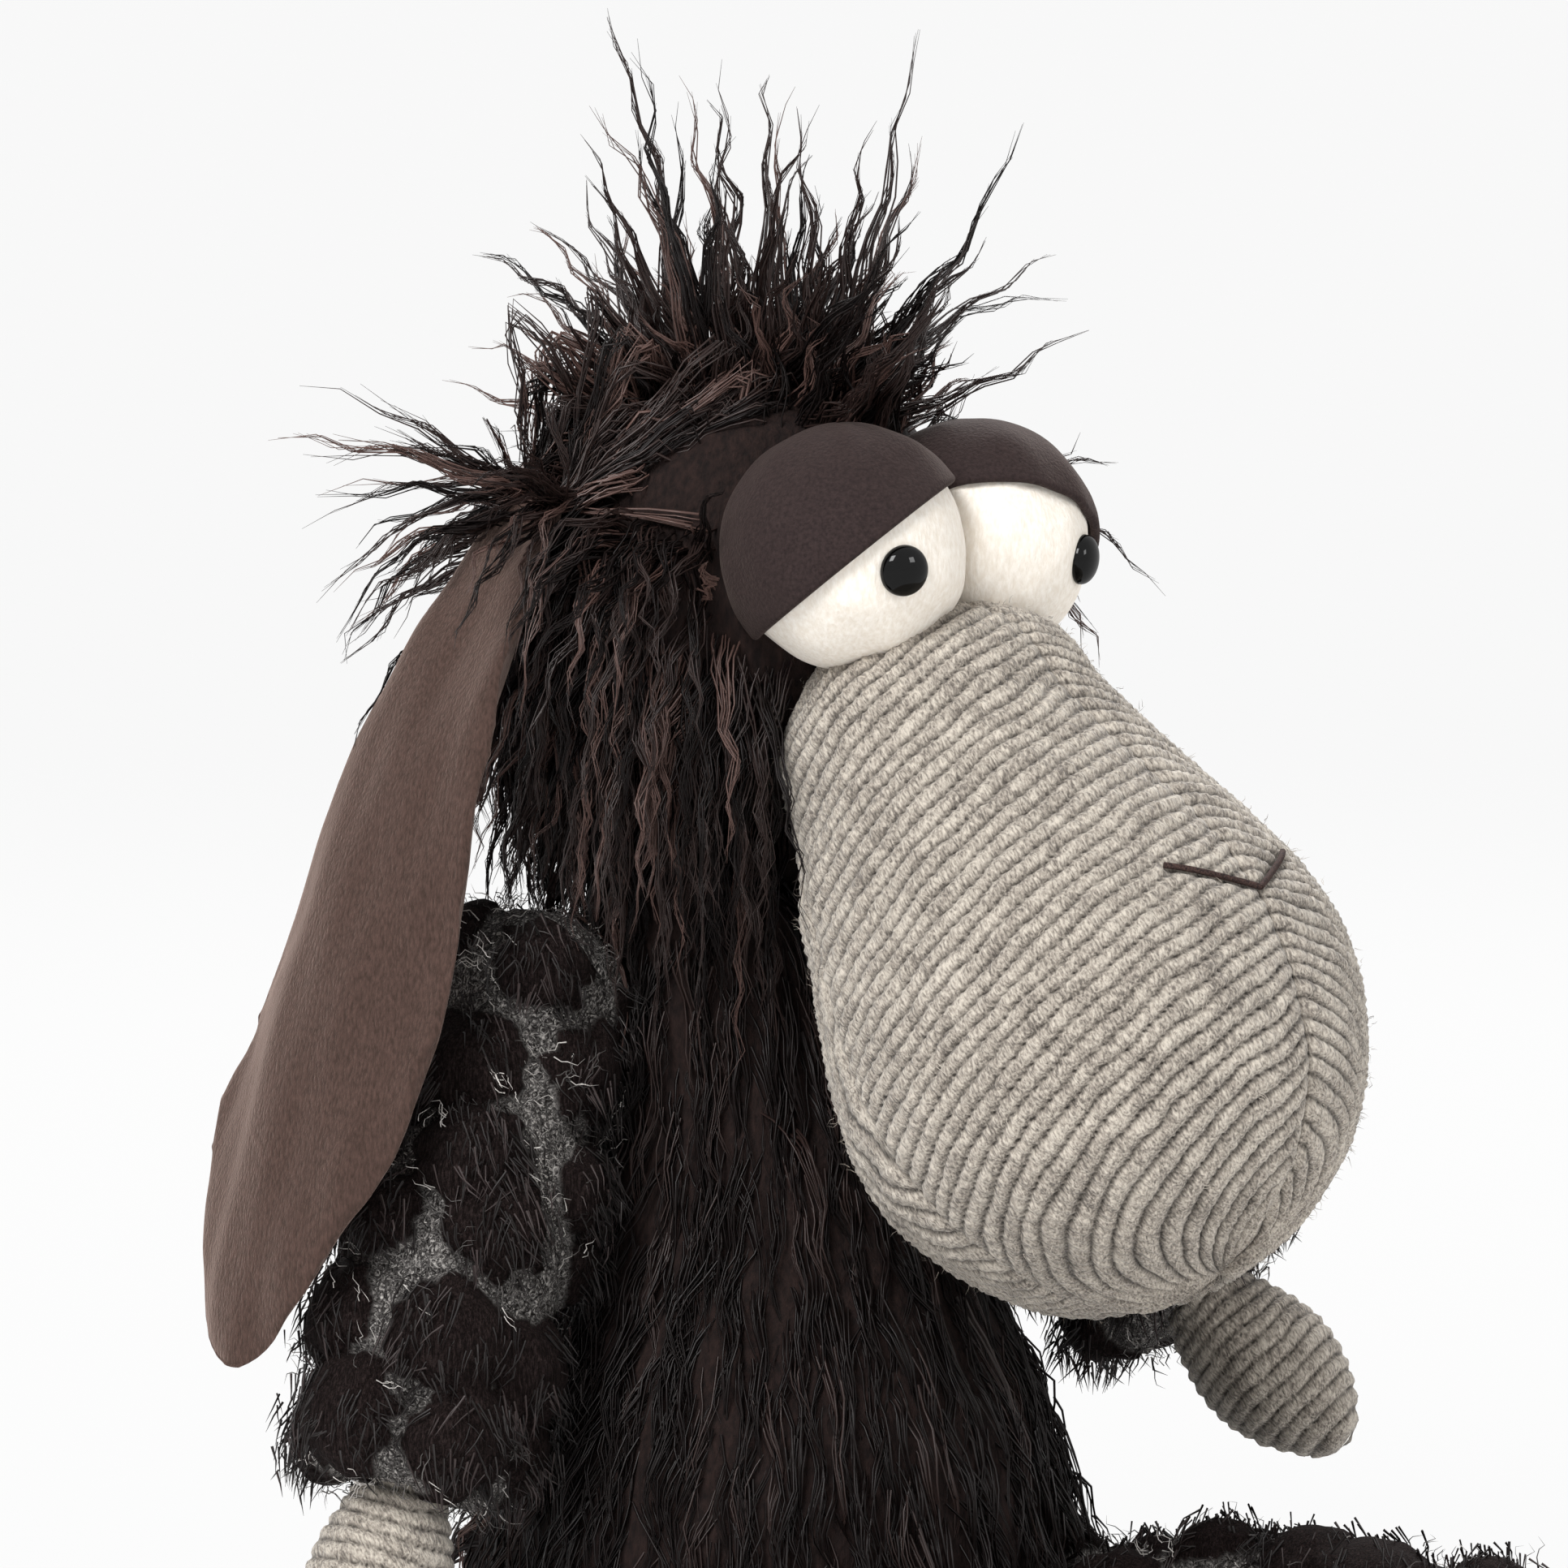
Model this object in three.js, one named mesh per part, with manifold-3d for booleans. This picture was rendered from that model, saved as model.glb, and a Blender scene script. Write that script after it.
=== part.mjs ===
// A seated plush sheep: stuffed covers for torso, head, ears, arms and legs, joined at soft seams.
// Millimetres, +Z up. The sheep faces -Y and its right side is -X. The origin is on the seat.
import * as THREE from 'three';
import { mergeVertices } from 'three/addons/utils/BufferGeometryUtils.js';
import Module from 'manifold-3d';

const wasm = await Module();
wasm.setup();

// Shared values
const GAP = 0.3; // between pieces that touch
const CLOTH = 3; // a cover's wall, with its backing but without its pile
const OVERRUN = 400; // how far a cut runs past what it trims
const RIGHT_ANGLE = Math.PI / 2;
const HALF_TURN = Math.PI;
const FULL_TURN = Math.PI * 2;

// Facets around the round forms, and steps along a half ball
const FACETS = { torso: 16, head: 16, snout: 16, limb: 10, ball: 12, ear: 6, small: 8, lock: 6, thread: 4 };
const ROOT_STEPS = 3;

// Torso: an egg that stands on a flat seat and narrows to the neck
const seat = { halfWidth: 56, halfDepth: 56, setForward: 8, thickness: 2 };
const torso = { height: 222, halfWidth: 72, halfDepth: 68, sway: 12 };
const torsoShares = [
  { up: 0, wide: 0.76, deep: 0.8, back: -0.66 },
  { up: 0.05, wide: 0.9, deep: 0.92, back: -0.8 },
  { up: 0.14, wide: 1, deep: 1, back: -0.95 },
  { up: 0.26, wide: 0.98, deep: 1, back: -1 },
  { up: 0.38, wide: 0.87, deep: 0.95, back: -0.9 },
  { up: 0.5, wide: 0.73, deep: 0.85, back: -0.5 },
  { up: 0.61, wide: 0.63, deep: 0.76, back: 0 },
  { up: 0.73, wide: 0.58, deep: 0.64, back: 0.3 },
  { up: 0.84, wide: 0.575, deep: 0.54, back: 0.45 },
  { up: 0.93, wide: 0.54, deep: 0.46, back: 0.4 },
  { up: 1, wide: 0.46, deep: 0.4, back: 0.35 },
];
const pellets = { halfWidth: 42, halfDepth: 40, height: 30 };
const pelletShares = [
  { up: 0, wide: 0.8 },
  { up: 0.25, wide: 1 },
  { up: 0.7, wide: 0.97 },
  { up: 0.92, wide: 0.72 },
  { up: 1, wide: 0.4 },
];

// Neck: a ball under the head that turns in a hollow in the torso, with a roll of cloth round it
const neck = { setBack: 4, rise: 8, ball: 29, rollRadius: 31.5, rollHeight: 3.2, mouth: 11 };

// Head: an egg, with its crown locks
const head = { rise: 55, halfWidth: 56, halfDepth: 52, halfHeight: 60 };
const crown = { pad: 3, length: 62, root: 19, capShare: 0.7 };
const lockShares = [
  { turn: 0, lean: 0.02, long: 1, curl: 0.1 },
  { turn: 0.1, lean: 0.24, long: 0.96, curl: -0.1 },
  { turn: 0.43, lean: 0.26, long: 0.92, curl: 0.12 },
  { turn: 0.77, lean: 0.12, long: 0.97, curl: -0.08 },
  { turn: 0.03, lean: 0.52, long: 0.84, curl: 0.1 },
  { turn: 0.17, lean: 0.48, long: 0.8, curl: -0.1 },
  { turn: 0.32, lean: 0.54, long: 0.86, curl: 0.08 },
  { turn: 0.46, lean: 0.5, long: 0.82, curl: -0.12 },
  { turn: 0.6, lean: 0.44, long: 0.85, curl: 0.1 },
  { turn: 0.74, lean: 0.3, long: 0.8, curl: -0.08 },
  { turn: 0.89, lean: 0.42, long: 0.84, curl: 0.12 },
];
const lockTaperShares = [
  { along: 0, round: 1 },
  { along: 0.3, round: 0.92 },
  { along: 0.6, round: 0.68 },
  { along: 0.85, round: 0.34 },
  { along: 1, round: 0.06 },
];

// Eyes: stuffed balls side by side, each with a cloth lid and a domed pupil on a shank
const eye = { radius: 28, apart: 45, sink: 0.5, rise: 11, lid: 2.2, lidDrop: 1.5 };
const pupil = { radius: 6, dome: 3.6, shank: 2.2, shankLength: 13 };
const washer = { radius: 6.5, thickness: 2, depth: 9 };
const domeShares = [
  { up: 0, round: 1 },
  { up: 0.3, round: 0.97 },
  { up: 0.68, round: 0.76 },
  { up: 0.92, round: 0.4 },
  { up: 1, round: 0.1 },
];
const gazeShares = { out: 0.36, forward: 0.927, down: 0.107 };
const lidFacingShares = { out: 0.368, back: 0.51, up: 0.777 };

// Snout: a drooping pear of two side panels and a chin panel
const snout = { rootDrop: 25, forward: 57.5, drop: 78, radius: 63, chinDrop: 26 };
const snoutShares = [
  { along: -0.12, round: 0.42 },
  { along: 0, round: 0.58 },
  { along: 0.22, round: 0.66 },
  { along: 0.45, round: 0.79 },
  { along: 0.7, round: 0.93 },
  { along: 1, round: 1 },
];
const DOME_STEPS = 5;
const mouth = { thread: 1.5, wide: 22.5, turnUp: 15.5, acrossShares: [0.04, 0.3, 0.65, 1] };

// Ears: long flat flaps of two panels, hung from the sides of the head
const ear = { thickness: 13, width: 64, sink: 0.9, back: 12, rise: 22, out: 76, trail: 33, drop: 202 };
const earDropShares = [
  { out: 0, back: 0, down: 0, wide: 0.5, thick: 0.8 },
  { out: 0.22, back: 0.09, down: 0.1, wide: 0.66, thick: 0.95 },
  { out: 0.48, back: 0.24, down: 0.27, wide: 0.84, thick: 1 },
  { out: 0.58, back: 0.4, down: 0.42, wide: 0.92, thick: 1 },
  { out: 0.68, back: 0.55, down: 0.57, wide: 1, thick: 1 },
  { out: 0.79, back: 0.7, down: 0.7, wide: 1, thick: 0.95 },
  { out: 0.9, back: 0.85, down: 0.84, wide: 0.8, thick: 0.85 },
  { out: 0.97, back: 0.94, down: 0.94, wide: 0.58, thick: 0.65 },
  { out: 1, back: 1, down: 1, wide: 0.3, thick: 0.35 },
];

// Arms and hands
const arm = { back: 18, drop: 32, sink: 1.8, root: 22, radius: 26, length: 128, mouth: 5, endGap: 4 };
const armShares = [
  { along: 0.14, round: 0.75 },
  { along: 0.32, round: 0.88 },
  { along: 0.55, round: 1 },
  { along: 0.78, round: 0.98 },
  { along: 1, round: 0.88 },
];
const hand = { root: 14, radius: 19.5, length: 50, mouth: 5 };
const handShares = [
  { along: 0.2, round: 0.92 },
  { along: 0.44, round: 1 },
  { along: 0.7, round: 0.8 },
  { along: 0.9, round: 0.45 },
  { along: 1, round: 0.16 },
];
const armPose = {
  right: { raise: 0, spread: 21 },
  left: { raise: 46, spread: 15 },
};

// Legs and feet, stretched out in front of the seat
const leg = { out: 42, up: 31.5, sink: 19.2, root: 20, radius: 28, length: 130, mouth: 5, endGap: 5 };
const legShares = [
  { along: 0.15, round: 0.72 },
  { along: 0.35, round: 0.94 },
  { along: 0.58, round: 1 },
  { along: 0.8, round: 0.93 },
  { along: 1, round: 0.86 },
];
const foot = { root: 16, radius: 25, length: 62, mouth: 5 };
const footShares = [
  { along: 0.2, round: 0.88 },
  { along: 0.45, round: 1 },
  { along: 0.72, round: 0.86 },
  { along: 0.92, round: 0.5 },
  { along: 1, round: 0.2 },
];
const legPose = { raise: 88, splay: 12 };

// Tail
const tail = { up: 42, sink: 4.5, root: 9, radius: 11, length: 38, droop: 38 };
const tailShares = [
  { along: 0.3, round: 0.92 },
  { along: 0.6, round: 1 },
  { along: 0.85, round: 0.7 },
  { along: 1, round: 0.25 },
];

const finishes = {
  pile: { color: 0x1b1517, roughness: 0.95, metalness: 0 },
  earPlush: { color: 0x4a4140, roughness: 0.9, metalness: 0 },
  lidPlush: { color: 0x2e2628, roughness: 0.92, metalness: 0 },
  eyePlush: { color: 0xefe6da, roughness: 0.9, metalness: 0 },
  pupilGloss: { color: 0x0b0a0b, roughness: 0.12, metalness: 0 },
  ribKnit: { color: 0xa8a49a, roughness: 0.92, metalness: 0 },
  sleevePlush: { color: 0x8a8d8f, roughness: 0.95, metalness: 0 },
  thread: { color: 0x141214, roughness: 0.8, metalness: 0 },
  stuffing: { color: 0xf2f0ea, roughness: 0.98, metalness: 0 },
  pelletBag: { color: 0xd9d6cc, roughness: 0.85, metalness: 0 },
  washer: { color: 0xe6e6e2, roughness: 0.45, metalness: 0 },
};

const sheep = new THREE.Group();
const RIGHT = -1;
const LEFT = 1;
const SIDES = [
  { name: 'right', sign: RIGHT },
  { name: 'left', sign: LEFT },
];

function point(x, y, z) {
  return new THREE.Vector3(x, y, z);
}

// A closed three.js geometry as a solid that can be joined and cut.
function solidOf(geometry) {
  const bare = geometry.clone();
  bare.deleteAttribute('normal');
  bare.deleteAttribute('uv');
  const merged = mergeVertices(bare);
  return new wasm.Manifold(new wasm.Mesh({
    numProp: 3,
    vertProperties: new Float32Array(merged.attributes.position.array),
    triVerts: new Uint32Array(merged.index.array),
  }));
}

function geometryOf(solid) {
  const mesh = solid.getMesh();
  const geometry = new THREE.BufferGeometry();
  geometry.setAttribute('position', new THREE.BufferAttribute(mesh.vertProperties, mesh.numProp));
  geometry.setIndex(new THREE.BufferAttribute(mesh.triVerts, 1));
  geometry.computeVertexNormals();
  return geometry;
}

// Adds a finished solid to the sheep under its own name.
function addPiece(name, solid, finish) {
  const mesh = new THREE.Mesh(geometryOf(solid), new THREE.MeshStandardMaterial(finish));
  mesh.name = name;
  sheep.add(mesh);
}

// The same solid, moved by a three.js placement.
function placed(geometry, placement) {
  return solidOf(geometry.clone().applyMatrix4(placement));
}

function signedVolume(points, faces) {
  let sum = 0;
  for (const [a, b, c] of faces) {
    sum += points[a].dot(point(0, 0, 0).crossVectors(points[b], points[c]));
  }
  return sum;
}

// A closed skin through rings of points, with a fan over the first ring and the last.
function skin(rings) {
  const around = rings[0].length;
  const points = rings.flat();
  const faces = [];
  for (let ring = 0; ring < rings.length - 1; ring += 1) {
    for (let step = 0; step < around; step += 1) {
      const next = (step + 1) % around;
      const low = ring * around;
      const high = low + around;
      faces.push([low + step, low + next, high + next], [low + step, high + next, high + step]);
    }
  }
  const last = (rings.length - 1) * around;
  const ends = [rings[0], rings[rings.length - 1]].map(centreOf);
  const firstHub = points.push(ends[0]) - 1;
  const lastHub = points.push(ends[1]) - 1;
  for (let step = 0; step < around; step += 1) {
    const next = (step + 1) % around;
    faces.push([firstHub, next, step], [lastHub, last + step, last + next]);
  }
  if (signedVolume(points, faces) < 0) {
    faces.forEach((face) => face.reverse());
  }
  const geometry = new THREE.BufferGeometry();
  geometry.setFromPoints(points);
  geometry.setIndex(faces.flat());
  return geometry;
}

function centreOf(points) {
  return points.reduce((sum, p) => sum.add(p), point(0, 0, 0)).divideScalar(points.length);
}

// A ring of points on an oval with two half axes.
function oval(centre, across, along, facets) {
  return Array.from({ length: facets }, (unused, step) => {
    const turn = (step / facets) * FULL_TURN;
    return centre.clone().addScaledVector(across, Math.cos(turn)).addScaledVector(along, Math.sin(turn));
  });
}

function levelOval(centre, halfWidth, halfDepth, facets) {
  return oval(centre, point(halfWidth, 0, 0), point(0, halfDepth, 0), facets);
}

// A faceted ball keeps its corners on the radius; a hollow for it is widened so that its flats clear them.
function ball(centre, radius, facets = FACETS.ball) {
  const geometry = new THREE.SphereGeometry(radius, facets, Math.round(facets / 2));
  return solidOf(geometry.translate(centre.x, centre.y, centre.z));
}

function hollowFor(centre, radius, inset = 0) {
  const flatShare = Math.cos(HALF_TURN / FACETS.ball) ** 2;
  return ball(centre, (radius + GAP) / flatShare + inset);
}

// A straight round bar between two points.
function bar(from, to, radius, facets = FACETS.small) {
  const reach = to.clone().sub(from);
  const geometry = new THREE.CylinderGeometry(radius, radius, reach.length(), facets);
  const turn = new THREE.Quaternion().setFromUnitVectors(point(0, 1, 0), reach.clone().normalize());
  const middle = from.clone().add(to).divideScalar(2);
  return placed(geometry, new THREE.Matrix4().compose(middle, turn, point(1, 1, 1)));
}

// Everything beyond a plane, as a block that starts at a point and runs along a direction.
function beyond(start, direction) {
  const geometry = new THREE.BoxGeometry(OVERRUN * 2, OVERRUN * 2, OVERRUN);
  geometry.translate(0, 0, OVERRUN / 2);
  const turn = new THREE.Quaternion().setFromUnitVectors(point(0, 0, 1), direction.clone().normalize());
  return placed(geometry, new THREE.Matrix4().compose(start, turn, point(1, 1, 1)));
}

function joined(first, ...others) {
  return others.reduce((whole, other) => whole.add(other), first);
}

function cutBy(solid, ...tools) {
  return tools.reduce((left, tool) => left.subtract(tool), solid);
}

// The torso's oval at a height: its middle, half width and half depth, between the stations.
function torsoAt(height) {
  const base = seat.thickness + GAP;
  const up = (height - base) / (torso.height - base);
  const above = Math.max(torsoShares.findIndex((share) => share.up >= up), 1);
  const [low, high] = [torsoShares[above - 1], torsoShares[above]];
  const part = (up - low.up) / (high.up - low.up);
  const between = (key) => THREE.MathUtils.lerp(low[key], high[key], part);
  return {
    middle: between('back') * torso.sway,
    halfWidth: between('wide') * torso.halfWidth,
    halfDepth: between('deep') * torso.halfDepth,
  };
}

// How far the torso reaches sideways at a height and a place from front to back.
function torsoSide(height, back) {
  const { middle, halfWidth, halfDepth } = torsoAt(height);
  return halfWidth * Math.sqrt(1 - ((back - middle) / halfDepth) ** 2);
}

// How far its front lies ahead of the origin at a height and a place from side to side.
function torsoFront(height, out) {
  const { middle, halfWidth, halfDepth } = torsoAt(height);
  return halfDepth * Math.sqrt(1 - (out / halfWidth) ** 2) - middle;
}

// Where the joints are
const neckCentre = point(0, neck.setBack, torso.height + neck.rise);
const headCentre = point(0, 0, neckCentre.z + head.rise);
const shoulderHeight = torso.height - arm.drop;
const shoulderOut = torsoSide(shoulderHeight, arm.back) + arm.root - arm.sink;
const hipForward = torsoFront(leg.up, leg.out) + leg.root - leg.sink;
const tailBack = torsoAt(tail.up).middle + torsoAt(tail.up).halfDepth + tail.root - tail.sink;
const shoulderOf = (sign) => point(sign * shoulderOut, arm.back, shoulderHeight);
const hipOf = (sign) => point(sign * leg.out, -hipForward, leg.up);
const tailRoot = point(0, tailBack, tail.up);

// The torso's form, with its surface moved in by an inset.
function torsoForm(inset) {
  const base = seat.thickness + GAP;
  const rings = torsoShares.map((share) => {
    const rise = base + share.up * (torso.height - base);
    const height = Math.min(Math.max(rise, base + inset), torso.height - inset);
    const centre = point(0, share.back * torso.sway, height);
    return levelOval(
      centre,
      share.wide * torso.halfWidth - inset,
      share.deep * torso.halfDepth - inset,
      FACETS.torso,
    );
  });
  const hollows = [hollowFor(neckCentre, neck.ball, inset), hollowFor(tailRoot, tail.root, inset)];
  for (const { sign } of SIDES) {
    hollows.push(hollowFor(shoulderOf(sign), arm.root, inset));
    hollows.push(hollowFor(hipOf(sign), leg.root, inset));
  }
  return cutBy(solidOf(skin(rings)), ...hollows);
}

function buildTorso() {
  const seatCentre = point(0, -seat.setForward, 0);
  const seatTop = point(0, -seat.setForward, seat.thickness);
  const seatRings = [seatCentre, seatTop].map((centre) => (
    levelOval(centre, seat.halfWidth, seat.halfDepth, FACETS.torso)
  ));
  addPiece('seat_panel', solidOf(skin(seatRings)), finishes.pile);

  const neckMouth = bar(neckCentre, point(0, neck.setBack, torso.height / 2), neck.mouth);
  addPiece('torso_cover', cutBy(torsoForm(0), torsoForm(CLOTH), neckMouth), finishes.pile);
  const bag = pelletBag(0);
  addPiece('pellet_bag', bag, finishes.pelletBag);
  addPiece('torso_stuffing', cutBy(torsoForm(CLOTH + GAP), pelletBag(GAP)), finishes.stuffing);
}

// The pellet bag lies on the floor of the torso; a positive outset makes the pocket for it.
function pelletBag(outset) {
  const floor = seat.thickness + GAP + CLOTH + GAP;
  const rings = pelletShares.map((share) => {
    const low = share.up === 0 ? -outset : 0;
    const centre = point(0, -seat.setForward, floor + low + share.up * (pellets.height + outset));
    return levelOval(
      centre,
      share.wide * pellets.halfWidth + outset,
      share.wide * pellets.halfDepth + outset,
      FACETS.limb,
    );
  });
  return solidOf(skin(rings));
}

// The roll of cloth round the neck, between the torso and the head.
function buildNeckRoll() {
  const base = point(0, neck.setBack, torso.height + GAP);
  const top = point(0, neck.setBack, torso.height + GAP + neck.rollHeight);
  const rings = [
    levelOval(base, neck.rollRadius, neck.rollRadius, FACETS.torso),
    levelOval(top, neck.ball + CLOTH, neck.ball + CLOTH, FACETS.torso),
  ];
  addPiece('neck_roll', cutBy(solidOf(skin(rings)), hollowFor(neckCentre, neck.ball)), finishes.pile);
}

// The head's egg with the neck ball under it; a negative inset gives the room that its neighbours leave.
function headForm(inset) {
  const egg = new THREE.SphereGeometry(1, FACETS.head, FACETS.head / 2);
  egg.rotateX(RIGHT_ANGLE);
  egg.scale(head.halfWidth - inset, head.halfDepth - inset, head.halfHeight - inset);
  egg.translate(headCentre.x, headCentre.y, headCentre.z);
  return joined(solidOf(egg), ball(neckCentre, neck.ball - inset));
}

function buildHead() {
  const mouthFoot = neckCentre.clone().add(point(0, 0, -neck.ball * 2));
  const stuffingHole = bar(mouthFoot, neckCentre, neck.mouth);
  addPiece('head_cover', cutBy(headForm(0), headForm(CLOTH), stuffingHole), finishes.pile);
  addPiece('head_stuffing', headForm(CLOTH + GAP), finishes.stuffing);
}

// One tapered, slightly curled lock of the crown, from inside its pad to its tip.
function crownLock(share) {
  const turn = share.turn * FULL_TURN;
  const lean = share.lean * RIGHT_ANGLE;
  const outward = point(Math.cos(turn), Math.sin(turn), 0);
  const sideways = point(-Math.sin(turn), Math.cos(turn), 0);
  const heading = outward.clone().multiplyScalar(Math.sin(lean)).add(point(0, 0, Math.cos(lean)));
  const size = point(head.halfWidth, head.halfDepth, head.halfHeight);
  const root = heading.clone().multiply(size).add(headCentre);
  root.addScaledVector(heading, GAP + crown.pad / 2);
  const length = crown.length * share.long;
  const across = sideways.clone();
  const along = point(0, 0, 0).crossVectors(heading, across);
  const rings = lockTaperShares.map((taper) => {
    const curl = share.curl * length * taper.along ** 2;
    const radius = crown.root * taper.round;
    const centre = root.clone()
      .addScaledVector(heading, taper.along * length)
      .addScaledVector(sideways, curl);
    const half = (direction) => direction.clone().multiplyScalar(radius);
    return oval(centre, half(across), half(along), FACETS.lock);
  });
  return solidOf(skin(rings));
}

// Locks of long pile on a sewn pad that caps the head.
function buildCrown() {
  const capFoot = headCentre.clone().add(point(0, 0, head.halfHeight * crown.capShare));
  const pad = headForm(-(GAP + crown.pad)).intersect(beyond(capFoot, point(0, 0, 1)));
  const locks = lockShares.map(crownLock);
  const lidRoom = joined(...SIDES.map(({ sign }) => (
    hollowFor(eyeCentreOf(sign), eye.radius + GAP + eye.lid)
  )));
  addPiece('crown_tuft', cutBy(joined(pad, ...locks), headForm(-GAP), lidRoom), finishes.pile);
}

const eyeForward = head.halfDepth - eye.sink;
const eyeCentreOf = (sign) => point(sign * (eye.apart / 2), -eyeForward, headCentre.z + eye.rise);
const gazeOf = (sign) => point(sign * gazeShares.out, -gazeShares.forward, -gazeShares.down).normalize();

// The middle plane between the eyes, kept clear on one side by half the gap.
function ownSide(sign) {
  return beyond(point(sign * (GAP / 2), 0, 0), point(sign, 0, 0));
}

// A point in front of an eye's centre, along its gaze.
function alongGaze(sign, distance) {
  return eyeCentreOf(sign).addScaledVector(gazeOf(sign), distance);
}

function buildPupil(name, sign) {
  const seatAt = eye.radius + GAP;
  const turn = new THREE.Quaternion().setFromUnitVectors(point(0, 0, 1), gazeOf(sign));
  const rings = domeShares.map((share) => {
    const radius = pupil.radius * share.round;
    return levelOval(point(0, 0, share.up * pupil.dome), radius, radius, FACETS.small);
  });
  const placement = new THREE.Matrix4().compose(alongGaze(sign, seatAt), turn, point(1, 1, 1));
  const dome = placed(skin(rings), placement);
  const shankFoot = alongGaze(sign, seatAt - pupil.shankLength);
  const shank = bar(shankFoot, alongGaze(sign, seatAt + pupil.dome / 2), pupil.shank);
  addPiece(`pupil_${name}`, joined(dome, shank), finishes.pupilGloss);
}

// The lock washer grips the shank inside the eye ball.
function washerSpan(sign, outset) {
  const face = eye.radius - washer.depth;
  return [alongGaze(sign, face + outset), alongGaze(sign, face - washer.thickness - outset)];
}

function buildEye(name, sign) {
  const centre = eyeCentreOf(sign);
  const shankFoot = alongGaze(sign, eye.radius - pupil.shankLength - GAP);
  const bore = bar(shankFoot, alongGaze(sign, eye.radius * 2), pupil.shank + GAP);
  const pocket = bar(...washerSpan(sign, GAP), washer.radius + GAP);
  const own = ball(centre, eye.radius).intersect(ownSide(sign));
  addPiece(`eye_ball_${name}`, cutBy(own, headForm(-GAP), bore, pocket), finishes.eyePlush);

  const ring = bar(...washerSpan(sign, 0), washer.radius);
  const washerBore = bar(...washerSpan(sign, washer.thickness), pupil.shank + GAP);
  addPiece(`eye_washer_${name}`, cutBy(ring, washerBore), finishes.washer);
  buildPupil(name, sign);

  const facing = point(sign * lidFacingShares.out, lidFacingShares.back, lidFacingShares.up).normalize();
  const edge = centre.clone().addScaledVector(facing, -eye.lidDrop);
  const shell = cutBy(ball(centre, eye.radius + GAP + eye.lid), hollowFor(centre, eye.radius));
  const upper = shell.intersect(beyond(edge, facing)).intersect(ownSide(sign));
  addPiece(`eyelid_${name}`, cutBy(upper, headForm(-GAP), snoutForm(-GAP)), finishes.lidPlush);
}

// The snout's own directions: along its axis, and up and forward from it
const snoutRoot = point(0, -head.halfDepth, headCentre.z - snout.rootDrop);
const snoutBulb = snoutRoot.clone().add(point(0, -snout.forward, -snout.drop));
const snoutReach = snoutRoot.distanceTo(snoutBulb);
const snoutAxis = snoutBulb.clone().sub(snoutRoot).normalize();
const snoutTop = point(0, 0, 0).crossVectors(snoutAxis, point(1, 0, 0)).normalize();

function snoutRing(along, radius) {
  const centre = snoutRoot.clone().addScaledVector(snoutAxis, along);
  return oval(centre, point(radius, 0, 0), snoutTop.clone().multiplyScalar(radius), FACETS.snout);
}

// The drooping pear, with its surface moved in by an inset.
function snoutForm(inset) {
  const rings = snoutShares.map((share) => (
    snoutRing(share.along * snoutReach, share.round * snout.radius - inset)
  ));
  for (let step = 1; step < DOME_STEPS; step += 1) {
    const turn = (step / DOME_STEPS) * RIGHT_ANGLE;
    const radius = snout.radius - inset;
    rings.push(snoutRing(snoutReach + radius * Math.sin(turn), radius * Math.cos(turn)));
  }
  return solidOf(skin(rings));
}

// The face pieces that sit on the head leave this room for the eyes.
function eyeRoom() {
  return joined(...SIDES.map(({ sign }) => hollowFor(eyeCentreOf(sign), eye.radius)));
}

function buildSnout() {
  const room = joined(headForm(-GAP), eyeRoom());
  const cover = cutBy(snoutForm(0), snoutForm(CLOTH), room);
  const chinEdge = snoutBulb.clone().addScaledVector(snoutTop, -snout.chinDrop);
  const chinFacing = snoutTop.clone().negate();
  const chinStart = chinEdge.clone().addScaledVector(chinFacing, GAP);
  addPiece('chin_panel', cover.intersect(beyond(chinStart, chinFacing)), finishes.ribKnit);
  for (const { name, sign } of SIDES) {
    const panel = cutBy(cover.intersect(ownSide(sign)), beyond(chinEdge, chinFacing));
    addPiece(`snout_panel_${name}`, panel, finishes.ribKnit);
  }
  addPiece('snout_stuffing', cutBy(snoutForm(CLOTH + GAP), room), finishes.stuffing);
}

// A point over the bulb's surface, a share of the mouth's width out from the centre seam.
function mouthPoint(sign, share) {
  const lift = snout.radius + GAP + mouth.thread / 2;
  const out = sign * mouth.wide * share;
  const rise = -mouth.turnUp * share;
  const ahead = Math.sqrt(lift ** 2 - out ** 2 - rise ** 2);
  return snoutBulb.clone()
    .addScaledVector(snoutTop, ahead)
    .addScaledVector(snoutAxis, rise)
    .add(point(out, 0, 0));
}

// One run of mouth stitching, laid on the side panel as a thread.
function buildMouth(name, sign) {
  const route = new THREE.CatmullRomCurve3(mouth.acrossShares.map((share) => mouthPoint(sign, share)));
  const section = new THREE.Shape();
  section.absarc(0, 0, mouth.thread / 2, 0, FULL_TURN);
  const geometry = new THREE.ExtrudeGeometry(section, {
    steps: FACETS.small,
    curveSegments: FACETS.thread,
    extrudePath: route,
  });
  addPiece(`mouth_thread_${name}`, solidOf(geometry), finishes.thread);
}

// How far the head reaches sideways at the ears, and so where they are sewn on.
const earPlace = { back: ear.back / head.halfDepth, rise: ear.rise / head.halfHeight };
const headSide = head.halfWidth * Math.sqrt(1 - earPlace.back ** 2 - earPlace.rise ** 2);
const earSeam = headSide + (ear.thickness / 2) * earDropShares[0].thick + GAP - ear.sink;

// The middle line of an ear from its hinge down.
function earStation(sign, share) {
  return point(
    sign * (earSeam + share.out * ear.out),
    ear.back + share.back * ear.trail,
    headCentre.z + ear.rise - share.down * ear.drop,
  );
}

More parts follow.
